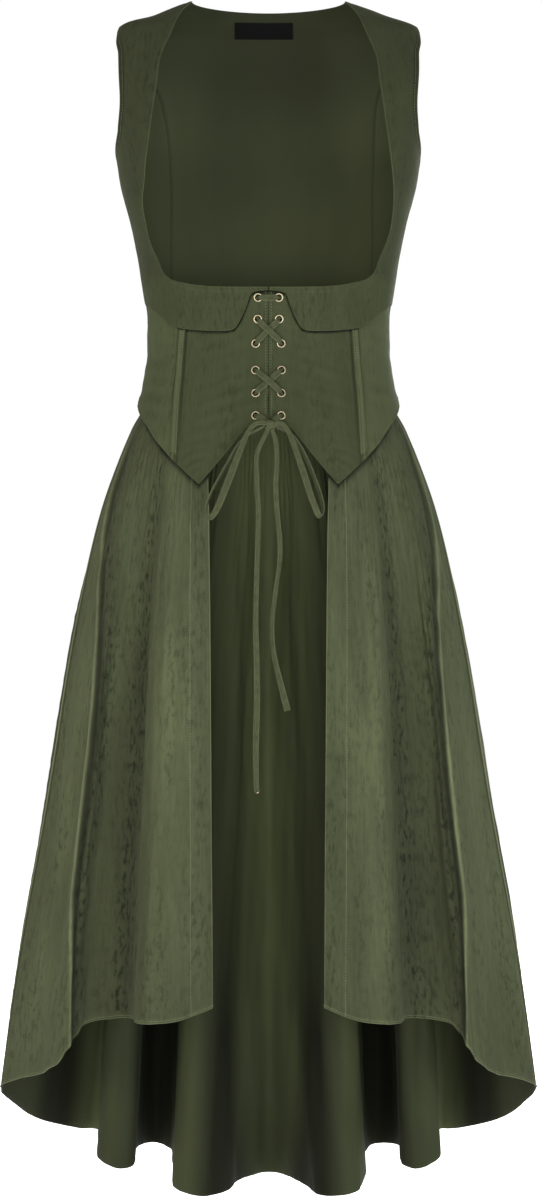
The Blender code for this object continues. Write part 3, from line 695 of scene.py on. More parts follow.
def backCentre():
    halves = []
    for side in (left, right):
        shoulder = straight([(90, 0), (90, 2)], np.linspace(0, 1, 26))
        armhole = onArmhole(np.linspace(-29, bodice["seamTop"], 14), 1)
        seamHeights = np.concatenate([np.linspace(-64, -417, 112), [-418.2, -419, -419.6, -420]])
        seam = backSeam(side, seamHeights)
        corner = straight([armhole[-1], seam[0]], np.linspace(0, 1, 8))
        edge = np.concatenate([shoulder, armhole[1:], corner[1:], seam[1:]])
        # More rows and columns close to the edges
        close = np.array([0, 0.0012, 0.004, 0.009, 0.016])
        rows = np.sort(np.concatenate([edge[:1, 1] + close, edge[1:, 1]]))
        edge = np.stack([np.interp(rows, edge[:, 1], edge[:, 0]), rows], -1)
        middle = np.stack([np.full(len(edge), 180.0), rows], -1)
        closeAcross = 1 - np.array([0.016, 0.009, 0.0045, 0.002, 0])
        across = np.concatenate([np.linspace(0, 0.975, 44), closeAcross])[:, None, None]
        halves.append(middle * (1 - across) + edge * across)
    spots = np.concatenate([halves[0][:0:-1], halves[1]])
    sign = np.repeat([left, right], [len(halves[0]) - 1, len(halves[1])])[:, None]
    mirror = np.stack(np.broadcast_arrays(sign, 1, 1), -1)
    base, normal = (part * mirror for part in onTorso(spots))
    base = lapped(base, (0, 0), (0, 1))
    edges = edgesOf(base)
    height = base[..., 2]
    relief, rubAndHighlight = sewnEdge("hem", *edges["top"], 3)
    neck = smoothStep(85 - np.abs(base[..., 0]), 0, 6)
    relief, rubAndHighlight = relief * neck, rubAndHighlight * neck
    for k, key in enumerate(("first", "last")):
        sewn, _ = sewnEdge("seam", *edges[key], 5 + k)
        relief = relief + sewn * smoothStep(-height, 56, 64)
        hem, worn = sewnEdge("hem", *edges[key], 7 + k)
        onHole = smoothStep(-height, 27, 31) * (1 - smoothStep(-height, 52, 58))
        relief, rubAndHighlight = relief + hem * onHole, rubAndHighlight + worn * onHole
        relief = relief + onArmholeEdge(edges[key][0], height) * (1 - smoothStep(-height, 42, 57))
    # Soft hollows between the shoulder blades and drag lines towards the waist
    inside = smoothStep(np.minimum(edges["first"][0], edges["last"][0]), 2, 16)
    relief = relief + 0.9 * inside * soft(base[..., 0], height, (120, 260), 21) * smoothStep(-height, 30, 120)
    relief = relief + 1.1 * inside * soft(base[..., 0], height, (210, 34), 22) * smoothStep(-height, 290, 350)
    # Painted shade: an even touch on the outside with dark lines along both seams, and the dim inside
    made, outer = clothPanel(
        "back_centre_cloth", base, normal, 1, relief, rubAndHighlight, edges,
        painted_shade=(0.2 + seamGrooveShade(edges, "first", "last"), insideShade(base)),
        place=torsoCloth((180 - spots[..., 0]) * sign, base))
    ownCloth(made, "back_centre")
    stitchAlong(outer, edges, "top", bodice["stitchIn"], 0.18, 0.82)


backCentre()


def sideBack(side, word):
    seamHeights = [bodice["seamTop"] - 1.5, *np.transpose(bodice["seamXZ"])[1]]
    upper = np.linspace(bodice["sideBackTop"], -176, 6)
    heights = np.concatenate([upper, np.linspace(-176, bodice["backHem"], 8)[1:]])
    at = shares(96, 360) * 12
    innerZ = np.interp(at, np.arange(13), seamHeights)
    top = onArmhole(np.array([bodice["seamTop"]]), 1)[0]
    seam = backSeam(side, np.minimum(innerZ, -64))
    corner = smoothStep(-innerZ, -bodice["seamTop"], 64)[:, None]
    innerLine = np.where(innerZ[:, None] > -64, top * (1 - corner) + seam * corner, seam)
    outerLine = onArmhole(np.interp(at, np.arange(13), heights), 1)
    across = shares(26, 70)[:, None, None]
    spots = innerLine * (1 - across) + outerLine * across
    base, normal = onTorso(spots)
    base = lapped(base, (0, 0), (0, 1))
    edges = edgesOf(base)
    height = base[..., 2]
    relief, rubAndHighlight = sewnEdge("seam", *edges["first"], 31)
    under = smoothStep(-height, 172, 184)
    sewn, _ = sewnEdge("seam", *edges["last"], 32)
    hem, worn = sewnEdge("hem", *edges["last"], 33)
    relief = relief + sewn * under + hem * (1 - under)
    rubAndHighlight = rubAndHighlight + worn * (1 - under)
    inside = smoothStep(np.minimum(edges["first"][0], edges["last"][0]), 2, 12)
    relief = relief + 0.8 * inside * soft(base[..., 0] * 2, height, (90, 150), 34 + side)
    drag = inside * soft(base[..., 0], height, (160, 30), 36 + side)
    relief = relief + drag * smoothStep(-height, 290, 350)
    name = f"side_back_{word}"
    low = armholeDip(height) * smoothStep(edges["first"][0], 12, 40)
    low = low - onArmholeEdge(edges["last"][0], height) * smoothStep(edges["first"][0], 2, 12)
    # Painted shade: an even touch on the outside with dark lines along both seams; inside, the dim back and a
    # line along the inner seam
    made, outer = clothPanel(
        name + "_cloth", base, normal, side, relief - low, rubAndHighlight, edges,
        painted_shade=(0.2 + seamGrooveShade(edges, "first", "last"), insideShade(base) + seamGrooveShade(edges, "first") * 0.3),
        place=torsoCloth(spots[..., 0], base))
    ownCloth(made, name)
    stitchAlong(outer, edges, "last", bodice["stitchIn"], 0.02, 0.42)


for side, word in sideWords:
    sideBack(side, word)

print("yokes")
yoke = {
    "lift": 3.0,
    "sewnDown": 0.72,  # how far the flap comes down to the cloth at the side seam
    "liftFrom": -285,
    "liftTo": -302,
    "flapEase": 1.4,
    "rungs": (
        # rung, necklineX, necklineZ, outerX, outerZ; None lies on the armhole or side seam
        ("shoulder", 82, 0, None, -29),
        ("strap1", 94, -17, None, -39),
        ("strap2", 104, -41, None, -54),
        ("strap3", 114, -66, None, -72),
        ("strap4", 117.5, -96, None, -96),
        ("strap5", 122.5, -130, None, -122),
        ("strap6", 127.4, -167, None, -150),
        ("underarm", 131, -196, None, -176),
        ("side1", 132.2, -225, None, -203),
        ("side2", 129, -250, None, -232),
        ("side3", 123.7, -267, None, -256),
        ("side4", 117, -283, None, -278),
        ("side5", 110, -296, None, -300),
        ("sideEnd", 102, -304, None, -325),
        ("flapA", 99, -305.5, 131.6, -325.8),
        ("flapB", 96.5, -306.6, 129.2, -327),
        ("flap1", 93.5, -307.8, 124.6, -330.5),
        ("flap2", 87, -309.4, 114, -340.5),
        ("flap3", 79, -311.5, 103.7, -349.7),
        ("flap4", 70, -313, 90, -357),
        ("flap5", 58.6, -314.3, 66, -360.6),
        ("flap6", 46, -315, 45, -361.5),
        ("flapCorner", 37, -315.3, 35, -359.5),
        ("notch1", 30, -315.5, 28.6, -350.2),
        ("notch2", 23, -315.7, 22.2, -335.3),
        ("notch3", 17.5, -315.8, 17.2, -322.3),
        ("centre", 0.6, -315.9, 0.6, -319.5),
    ),
}


def yokePanel(side, word):
    rungs = yoke["rungs"]
    underarm, sideEnd = (column(rungs, 0).index(key) for key in ("underarm", "sideEnd"))
    sideX = float(torsoValue(2, levelAt(-325)))
    innerXZ = np.array([row[1:3] for row in rungs], float)
    outerXZ = np.array([(sideX if row[3] is None else row[3], row[4]) for row in rungs], float)
    # More lines where a rung's gap is long, and fine ones at both ends
    gaps = np.array([
        16, 22, 23, 28, 31, 33, 30, 28, 27, 24, 22, 22, 24, 14, 8, 8, 14, 15, 16, 21, 17, 12, 10, 10, 9, 12])
    steps = np.maximum(3, gaps // 3)
    at = np.concatenate([k + np.arange(n) / n for k, n in enumerate(steps)] + [[len(steps)]])
    at = np.sort(np.concatenate([at, [0.01, 0.03, 0.06, 0.11, 25.9, 25.95, 25.98]]))
    innerLine = atFront(*rounded(innerXZ, at).T)
    innerLine[0, 0] = 90
    outerLine = atFront(*rounded(outerXZ, at).T)
    onSide = at <= sideEnd
    outerLine[onSide] = onArmhole(np.interp(at[onSide], np.arange(len(rungs)), column(rungs, 4)))
    across = shares(30, 62)[None, :, None]
    spots = innerLine[:, None] * (1 - across) + outerLine[:, None] * across
    base, normal = onTorso(spots)
    height = base[..., 2]
    drop = smoothStep(-height, -yoke["liftFrom"] - 3, -yoke["liftTo"] + 3)
    free = np.clip((height + 322) / -30, 0, 1) * np.clip((80 - spots[..., 0]) / 40, 0, 1)
    sewnDown = 1 - yoke["sewnDown"] * smoothStep(spots[..., 0], 66, 88)
    lift = drop * yoke["lift"] * sewnDown + free * yoke["flapEase"]
    edges = edgesOf(base)
    rung = at[:, None]
    neckline, worn = sewnEdge("hem", *edges["top"], 41)
    relief, rubAndHighlight = neckline * 0.7, worn * 0.9
    armhole, worn = sewnEdge("hem", *edges["foot"], 42)
    seam, _ = sewnEdge("seam", *edges["foot"], 43)
    flap, flapWorn = sewnEdge("narrow", *edges["foot"], 44)
    onHole = 1 - smoothStep(rung, 6.6, 7.0)
    onSeam = smoothStep(rung, 7.0, 7.4) * (1 - smoothStep(rung, 12.8, 13.6))
    onFlap = smoothStep(rung, 13.6, 15)
    relief = relief + armhole * onHole + seam * onSeam + flap * 0.6 * onFlap
    rubAndHighlight = rubAndHighlight + worn * onHole + flapWorn * 0.5 * onFlap
    shoulder, _ = sewnEdge("seam", *edges["first"], 45)
    relief = relief + shoulder * 0.8
    # The bust strains the cloth a little, and the flap's long edge ripples
    bust = hump(height, -225, 70)
    loose = 0.8 * bust * soft(base[..., 0], height, (70, 46), 46 + side)
    loose = loose + 0.55 * soft(base[..., 0], height, (34, 120), 48 + side) * smoothStep(-height, 300, 345)
    loose = loose + 0.5 * soft(base[..., 0], height, (60, 90), 50 + side)
    relief = relief + loose * (1 - onSeam * (1 - smoothStep(edges["foot"][0], 2, 14)))
    relief = relief + 0.6 * smoothStep(-height, 345, 361) * (1 - smoothStep(base[..., 0], 60, 110))
    relief = relief - armholeDip(height) * (1 - smoothStep(edges["foot"][0], 8, 34))
    relief = relief + onArmholeEdge(edges["foot"][0], height)
    # Painted shade over the yoke, a little lighter on the flap below
    shade = 0.5 - 0.1 * smoothStep(-height, 280, 320)
    # Painted shade: a dark line along each of the two rows of stitching round the armhole
    for inFrom, depth in ((6.2, 0.42), (3.6, 0.22)):
        shade = shade + depth * hump(edges["foot"][0], inFrom, 1.1) * onHole
    name = f"yoke_{word}"
    made, outer = clothPanel(
        name + "_cloth", base + normal * lift[..., None], normal, side, relief, rubAndHighlight, edges,
        painted_shade=(shade, shell["insideShade"]), crush=0.3, place=torsoCloth(spots[..., 0], base))
    ownCloth(made, name)
    stitchAlong(outer, edges, "foot", bodice["stitchIn"], 0.0, float(np.mean(at <= underarm)))


for side, word in sideWords:
    yokePanel(side, word)

print("laced corset fronts and sides")
corset = {
    "channel": (
        # x, z of the middle of the sewn channel
        (89, -345), (90.5, -362), (93.5, -402), (96, -429), (97.5, -455), (98.8, -481), (99.8, -498),
    ),
    "channelTop": -358.8,
    "channelFoot": -491,
    "channelHalfWidth": 4.3,
    "channelLift": 1.9,
    "top": ((0.6, -318.5), (20, -318.5), (45, -326), (89, -345)),
    "foot": (
        # x, z of the free lower edge, from the laced centre to the channel
        (0.6, -458), (14, -460.5), (23, -464), (33, -477), (43, -489.8),
        (60, -509.5), (72.5, -523.8), (86, -511.5), (99.8, -498),
    ),
    "sideTop": -316,
    "sideFoot": -425,
    "sideEdge": ((99.8, -498), (111.2, -485.3), (129.3, -458.5), (139.5, -436.6)),
    "lowPoint": (72.5, -523.8),
    "stitchIn": 2.6,
    "channelWall": 1.0,
    "channelStitchIn": 1.2,
}
eyelets = {
    "rows": ((10.8, -327.2), (11.1, -349.6), (13.3, -375.3), (13.5, -403.6), (13.4, -428.1), (13.3, -451.8)),
    "lift": 1.6,
    "sunk": 0.9,
    "cutRadius": 3.3,
    "cutSides": 28,
    "cutHeights": (-5, 6),
}


def place(side, x, z, out=0.0):
    # A point over the front of the bodice, and the way out of it there
    angle, level = atFront(x, z)
    normal = torsoNormal(angle, level)
    return Vector((torsoPoint(angle, level) + normal * out) * [side, 1, 1]), Vector(normal * [side, 1, 1])


def channelX(z):
    line = np.array(corset["channel"])
    return np.interp(-np.asarray(z), -line[:, 1], line[:, 0])


def cutEyelets(panel, side):
    # Cuts the six laced holes through a corset front
    points, faces = [], []
    sides, radius = eyelets["cutSides"], eyelets["cutRadius"]
    for x, z in eyelets["rows"]:
        centre, axis = place(side, x, z)
        turn = axis.to_track_quat("Z", "Y").to_matrix()
        start = len(points)
        for height in eyelets["cutHeights"]:
            for i in range(sides):
                angle = math.tau * i / sides
                spot = Vector((math.cos(angle) * radius, math.sin(angle) * radius, height))
                points.append((centre + turn @ spot) * mm)
        ring = [start + i for i in range(sides)]
        faces += [[a, b, b + sides, a + sides] for a, b in zip(ring, ring[1:] + ring[:1])]
        faces += [ring[::-1], [p + sides for p in ring]]
    mesh = bpy.data.meshes.new("hole_cutter")
    mesh.from_pydata(points, [], faces)
    cutter = addObject("hole_cutter", mesh)
    cut = panel.modifiers.new("holes", "BOOLEAN")
    cut.operation, cut.object, cut.solver = "DIFFERENCE", cutter, "EXACT"
    ready = panel.evaluated_get(bpy.context.evaluated_depsgraph_get())
    whole = bpy.data.meshes.new_from_object(ready)
    panel.modifiers.remove(cut)
    panel.data = whole
    bpy.data.objects.remove(cutter)


def flapShadowPaint(x, z):
    # Painted shadow: the dark line that the yoke's flap throws on the corset just below its edge
    edge = np.array([row[3:5] for row in yoke["rungs"][:13:-1]], float)
    return 0.95 * hump(z, np.interp(x, edge[:, 0], edge[:, 1]) - 0.9, 1.7)


def tipWrinkles(x, z, tip, seed):
    # Small stress wrinkles that rise from a corset point
    dx, dz = x - tip[0], z - tip[1]
    reach = np.hypot(dx, dz)
    angle = np.degrees(np.arctan2(dx, dz))
    near = np.exp(-((reach - 26) / 17) ** 2) * hump(angle, 8, 34)
    waves = np.sin(reach * 0.62 + 0.05 * angle)
    return near * (waves + 0.6 * soft(x, z, (9, 7), seed))


def corsetFront(side, word):
    footEnd = len(corset["foot"]) - 1
    at = shares(50, 105) * footEnd
    downShare = shares(84, 165)
    top = np.array(corset["top"])
    foot = straight(corset["foot"], at)
    topX = foot[:, 0] * top[-1, 0] / corset["foot"][-1][0]
    topLine = atFront(topX, np.interp(topX, top[:, 0], top[:, 1]))
    footLine = atFront(foot[:, 0], foot[:, 1])
    centreZ = np.interp(downShare, [0, 1], [top[0, 1], corset["foot"][0][1]])
    centreLine = atFront(0.12 + 0.7 * smoothStep(-centreZ, 424, 434), centreZ)
    z = np.interp(downShare, [0, 1], [corset["channel"][0][1], corset["channel"][-1][1]])
    channelLine = atFront(channelX(z), z)
    spots = coons(topLine, footLine, centreLine, channelLine, at / footEnd, downShare)
    base, normal = onTorso(spots)
    edges = edgesOf(base)
    x, height = base[..., 0], base[..., 2]
    centre, worn = sewnEdge("narrow", *edges["first"], 51)
    relief, rubAndHighlight = centre * 0.45, worn * 0.2
    foot, worn = sewnEdge("narrow", *edges["foot"], 52)
    relief, rubAndHighlight = relief + foot * 0.8, rubAndHighlight + worn * 0.55
    seam, _ = sewnEdge("seam", *edges["last"], 53)
    relief = relief + seam
    relief = relief + 0.75 * tipWrinkles(x, height, corset["lowPoint"], 54 + side)
    relief = relief + 0.42 * soft(x, height, (46, 16), 56 + side) * hump(x, 45, 40)
    # The lacing draws the edge in between the eyelets
    draw = sum(hump(np.hypot(x - ex, height - ez), 0, 8.5) for ex, ez in eyelets["rows"])
    relief = relief - 0.35 * np.clip(draw, 0, 1)
    name = f"corset_front_{word}"
    # Painted shade: an even touch, the flap's shadow, and a dark line beside the channel
    shade = 0.38 + flapShadowPaint(x, height) + 0.5 * hump(edges["last"][0], 5.6, 1.2)
    made, outer = clothPanel(
        name + "_cloth", base, normal, side, relief, rubAndHighlight, edges,
        painted_shade=(shade, shell["insideShade"]), place=torsoCloth(spots[..., 0], base))
    cutEyelets(made, side)
    ownCloth(made, name)
    stitchAlong(outer, edges, "first", corset["stitchIn"], 0.04, 0.98)


def corsetSide(side, word):
    downShare = shares(72, 140)
    acrossShare = shares(32, 60)
    z = np.interp(downShare, [0, 1], [corset["channel"][0][1], corset["channel"][-1][1]])
    first = atFront(channelX(z), z)
    last = onArmhole(np.interp(downShare, [0, 1], [corset["sideTop"], corset["sideFoot"]]))
    edge = np.concatenate([atFront(*np.transpose(corset["sideEdge"])), last[-1:]])
    run = runOf(edge * [2.0, 30.0])  # a degree and a level in mm, roughly
    footLine = np.stack([np.interp(acrossShare * run[-1], run, edge[:, k]) for k in (0, 1)], -1)
    topLine = straight([first[0], last[0]], acrossShare)
    spots = coons(topLine, footLine, first, last, acrossShare, downShare)
    base, normal = onTorso(spots)
    edges = edgesOf(base)
    x, height = base[..., 0], base[..., 2]
    relief, _ = sewnEdge("seam", *edges["first"], 61)
    seam, _ = sewnEdge("seam", *edges["last"], 62)
    foot, rubAndHighlight = sewnEdge("narrow", *edges["foot"], 63)
    relief, rubAndHighlight = relief + seam + foot * 0.8, rubAndHighlight * 0.55
    relief = relief + 0.6 * soft(x, height, (80, 24), 64 + side) * hump(x, 118, 18)
    relief = relief - 1.3 * smoothStep(x, 108, 128) * (1 - smoothStep(-height, 326, 350))
    name = f"corset_side_{word}"
    # Painted shade: a slight touch, the flap's shadow towards the front, and a dark line beside the channel
    shade = 0.06 + flapShadowPaint(x, height) * (1 - smoothStep(x, 96, 118))
    shade = shade + 0.5 * hump(edges["first"][0], 5.2, 1.2)
    made, _ = clothPanel(
        name + "_cloth", base, normal, side, relief, rubAndHighlight, edges,
        painted_shade=(shade, shell["insideShade"]), place=torsoCloth(spots[..., 0], base))
    ownCloth(made, name)


def channelStrip(side, word):
    # The bone channel: a padded strip with a row of stitches down each edge
    z = np.interp(shares(70, 132), [0, 1], [corset["channelTop"], corset["channelFoot"]])
    acrossShare = shares(9, 8.6 * 1.4) * 2 - 1
    slope = torsoValue(3, levelAt(z)) / 130
    x = channelX(z)[None] + corset["channelHalfWidth"] * acrossShare[:, None] * slope[None]
    slant = np.zeros((len(acrossShare), len(z)))
    slant += np.clip(acrossShare, 0, 1)[:, None] * 4.5 * smoothStep(-z, 485, 491)[None]
    base, normal = onTorso(atFront(x, z[None] + slant))
    edges = edgesOf(base)
    across = np.broadcast_to(acrossShare[:, None], base.shape[:2])
    crown = 1.2 * np.clip(1 - (across / 0.7) ** 2, 0, 1) - 0.7 * hump(np.abs(across), 0.78, 0.15)
    crown = crown + 0.12 * np.sin(math.tau * z / 4.6)[None] * hump(np.abs(across), 0.7, 0.3)
    # A pale line along both folded edges, and a painted highlight down the padded crown
    rubAndHighlight = 0.5 * hump(np.abs(across), 0.97, 0.1) + 0.55 * hump(across, 0, 0.5)
    name = f"channel_{word}"
    # An even painted shade over the strip
    made, outer = clothPanel(
        name + "_cloth", base + normal * corset["channelLift"], normal, side, crown, rubAndHighlight, edges,
        painted_shade=(0.27, shell["insideShade"]), thick=corset["channelWall"])
    ownCloth(made, name)
    for key in ("first", "last"):
        stitchAlong(outer, edges, key, corset["channelStitchIn"])


for side, word in sideWords:
    corsetFront(side, word)
    corsetSide(side, word)
    channelStrip(side, word)

print("skirt")
skirt = {
    "sink": 1.2,
    "top": (
        # angle round from the front, z of the waist seam behind the corset
        (24, -501), (27.5, -512), (33, -502), (48, -474), (64, -447), (80, -425), (90, -415),
        (110, -411), (180, -411),
    ),
    "hem": (
        # fold, waistAngle, x, y, z of the hem, from the front edge to the centre back
        ("frontEdge", 24, 57.8, -128, -1069),
        ("frontFlat", 31, 92, -138, -1081),
        ("crestA", 38, 121, -135, -1085),
        ("turnA", 43, 139, -116, -1086),
        ("tuckA", 47, 144, -88, -1085),
        ("valleyB", 53, 165, -68, -1088),
        ("riseB", 59, 194, -70, -1094),
        ("crestC", 65, 209, -90, -1114),
        ("turnC", 71, 222, -90, -1132),
        ("dipC", 77, 240, -66, -1146),
        ("crestD", 83, 268, -34, -1157),
        ("sideSeam", 90, 289, 0, -1171),
        ("sideBack", 97, 279, 52, -1197),
        ("quarter", 104, 257, 110, -1223),
        ("valleyE", 112, 218, 166, -1242.5),
        ("valleyEIn", 117, 194, 180, -1247),
        ("flute1Out", 121, 184, 140, -1254),
        ("flute1Turn", 125, 189, 92, -1263),
        ("flute1Crest", 130, 167, 68, -1271),
        ("flute1Back", 135, 149, 90, -1270),
        ("flute1In", 139, 152, 144, -1268),
        ("valleyFOut", 143, 148, 202, -1268),
        ("valleyF", 147, 129, 226, -1270),
        ("valleyFIn", 151, 111, 203, -1274),
        ("flute2Out", 155, 106, 152, -1288),
        ("flute2Turn", 160, 103.5, 106, -1299),
        ("flute2Crest", 165, 78, 87, -1305),
        ("flute2Back", 170, 52, 106, -1305),
        ("flute2In", 175, 33, 158, -1300),
        ("centreBack", 180, 0, 208, -1300.5),
    ),
    "flare": (
        # share of the way down, share of the way out to the hem
        (0, 0), (0.022, 0.002), (0.06, 0.088), (0.1, 0.17), (0.17, 0.292), (0.25, 0.395),
        (0.34, 0.492), (0.45, 0.59), (0.6, 0.705), (0.8, 0.872), (1, 1),
    ),
    "facing": 29,
    "facingStitch": 0.86,  # share of the facing's width
    "hemStitchIn": 2.7,
    "length": 720,
    "perFold": 40,  # mm, for the marks of the loose ripples
    "seamForward": (
        # share of the way down, folds by which the side seam runs in front of the widest line
        (0, 0), (0.15, 0), (0.3, 0.35), (0.5, 0.45), (0.75, 0.3), (0.95, 0.05), (1, 0),
    ),
    "sideCrease": (
        # share of the way down, fold along which the large side fold turns in sharply
        (0, 10), (0.14, 9.9), (0.21, 9.6), (0.3, 8.8), (0.36, 8.35), (0.41, 8.1), (0.48, 7.9), (0.52, 7.85),
        (0.62, 7.85), (0.75, 7.8), (0.87, 7.25), (1, 6.9),
    ),
    # Painted shade beyond the side crease: share of the way down, how deep
    "beyondCrease": ((0.1, 0.34), (0.5, 0.22), (0.8, 0.27), (1, 0.4)),
    "outsideShade": (
        # fold, how deep the painted shade lies at 0.1, 0.5, 0.8 and all of the way down
        (0, 0.4, 0.42, 0.48, 0.52), (1, 0.38, 0.34, 0.42, 0.5), (2, 0.34, 0.16, 0.24, 0.4),
        (2.8, 0.34, 0.34, 0.4, 0.48), (3.5, 0.36, 0.45, 0.5, 0.55), (4, 0.4, 0.56, 0.56, 0.58),
        (4.4, 0.46, 0.64, 0.61, 0.6), (5, 0.38, 0.56, 0.58, 0.58), (6, 0.38, 0.54, 0.58, 0.6),
        (7, 0.4, 0.58, 0.6, 0.62), (8, 0.42, 0.56, 0.6, 0.6), (10, 0.4, 0.4, 0.4, 0.45),
        (11, 0.3, 0.22, 0.27, 0.45), (13, 0.25, 0.05, 0.05, 0.1), (14, 0.2, 0, 0, 0),
        (16, 0.25, 0.4, 0.5, 0.6), (18, 0.3, 0.6, 0.7, 0.8), (20, 0.25, 0.4, 0.5, 0.6), (22, 0.15, 0, 0, 0),
        (24, 0.25, 0.4, 0.5, 0.6), (26, 0.3, 0.6, 0.7, 0.8), (28, 0.2, 0.35, 0.4, 0.5),
        (29, 0.15, 0.05, 0, 0),
    ),
    "insideShade": (
        # Painted shade on the inside faces: fold, how deep at 0.1, 0.5, 0.8 and all of the way down
        (0, 0.74, 0.8, 0.8, 0.8), (11, 0.8, 0.94, 0.93, 0.9), (12.6, 0.8, 0.95, 0.88, 0.86),
        (13, 0.8, 0.96, 0.94, 0.95), (13.4, 0.8, 0.97, 1.02, 1.02), (13.7, 0.8, 0.96, 0.96, 0.97),
        (14, 0.8, 0.94, 0.78, 0.76), (14.5, 0.78, 0.9, 0.58, 0.56), (15, 0.76, 0.9, 0.52, 0.5),
        (16, 0.74, 0.88, 0.66, 0.66), (17, 0.66, 0.82, 0.74, 0.78), (17.5, 0.6, 0.8, 0.74, 0.79),
        (18, 0.56, 0.78, 0.79, 0.85), (18.5, 0.55, 0.78, 0.86, 0.89), (19, 0.55, 0.82, 1, 1),
        (19.5, 0.58, 0.9, 1.02, 1.02), (20, 0.6, 0.97, 1.03, 1.03), (21.6, 0.62, 1, 1.03, 1.03),
        (22.4, 0.62, 1, 0.98, 0.98), (23, 0.62, 1, 0.96, 0.96), (24, 0.58, 0.96, 0.8, 0.8),
        (25, 0.52, 0.88, 0.68, 0.73), (25.5, 0.5, 0.86, 0.7, 0.76), (26, 0.46, 0.8, 0.84, 0.89),
        (26.4, 0.36, 0.72, 0.93, 0.97), (26.7, 0.28, 0.6, 1, 1.02), (27, 0.2, 0.5, 1, 1.03),
        (27.5, 0.12, 0.36, 0.86, 1.02), (28, 0.07, 0.2, 0.58, 0.99), (28.5, 0.05, 0.17, 0.5, 0.84),
        (28.8, 0.05, 0.17, 0.52, 0.79), (29, 0.05, 0.18, 0.56, 0.8),
    ),
}
seamFold = column(skirt["hem"], 0).index("sideSeam")
lastFold = 2 * (len(skirt["hem"]) - 1)
rightRows = [row[1:] for row in skirt["hem"]]
hemRows = np.array(rightRows + [(360 - angle, -x, y, z) for angle, x, y, z in rightRows[-2::-1]], float)


def skirtPoint(fold, down):
    # fold counts the hem's rows from the right front edge, down goes 0 to 1
    number = np.arange(len(hemRows))
    fold = np.clip(fold, 0, len(hemRows) - 1)
    angle = monotone(number, hemRows[:, 0], fold)
    mirror = np.where(angle > 180, -1, 1)
    turned = np.where(angle > 180, 360 - angle, angle)
    level = levelAt(monotone(column(skirt["top"], 0), column(skirt["top"], 1), turned))
    top = torsoPoint(turned, level) - torsoNormal(turned, level) * skirt["sink"]
    top = top * np.stack([mirror, np.ones_like(angle), np.ones_like(angle)], -1)
    hem = rounded(hemRows[:, 1:], fold)
    out = monotone(column(skirt["flare"], 0), column(skirt["flare"], 1), np.clip(down, 0, 1))
    share = np.stack([out, out, down * np.ones_like(out)], -1)
    return top + (hem - top) * share


def foldShade(rows, fold, down):
    # Painted shade in a fold: the table's depths at 0.1, 0.5, 0.8 and the hem, mixed by how far down
    there = np.minimum(fold, lastFold - fold)
    high, middle, low, hem = (monotone(column(rows, 0), column(rows, k), there) for k in (1, 2, 3, 4))
    shade = high + (middle - high) * np.clip((down - 0.1) / 0.4, 0, 1)
    shade = shade + (low - middle) * np.clip((down - 0.5) / 0.3, 0, 1)
    return shade + (hem - low) * np.clip((down - 0.8) / 0.2, 0, 1)


def seamMoved(fold, down):
    near = np.clip(1 - np.abs(np.minimum(fold, lastFold - fold) - seamFold) / 4, 0, 1)
    forward = np.interp(down, column(skirt["seamForward"], 0), column(skirt["seamForward"], 1))
    return fold + np.where(fold > lastFold / 2, 1, -1) * forward * near


def corsetShadowPaint(base):
    # Painted shadow: the dark line that the corset's lower edge throws on the skirt
    edge = np.array(corset["foot"] + corset["sideEdge"][1:], float)
    x = np.abs(base[..., 0])
    below = np.interp(x, edge[:, 0], edge[:, 1]) - base[..., 2]
    return (0.6 * hump(below, 0.5, 2.6) + 0.22 * hump(below, 0, 9)) * (1 - smoothStep(x, 130, 142))


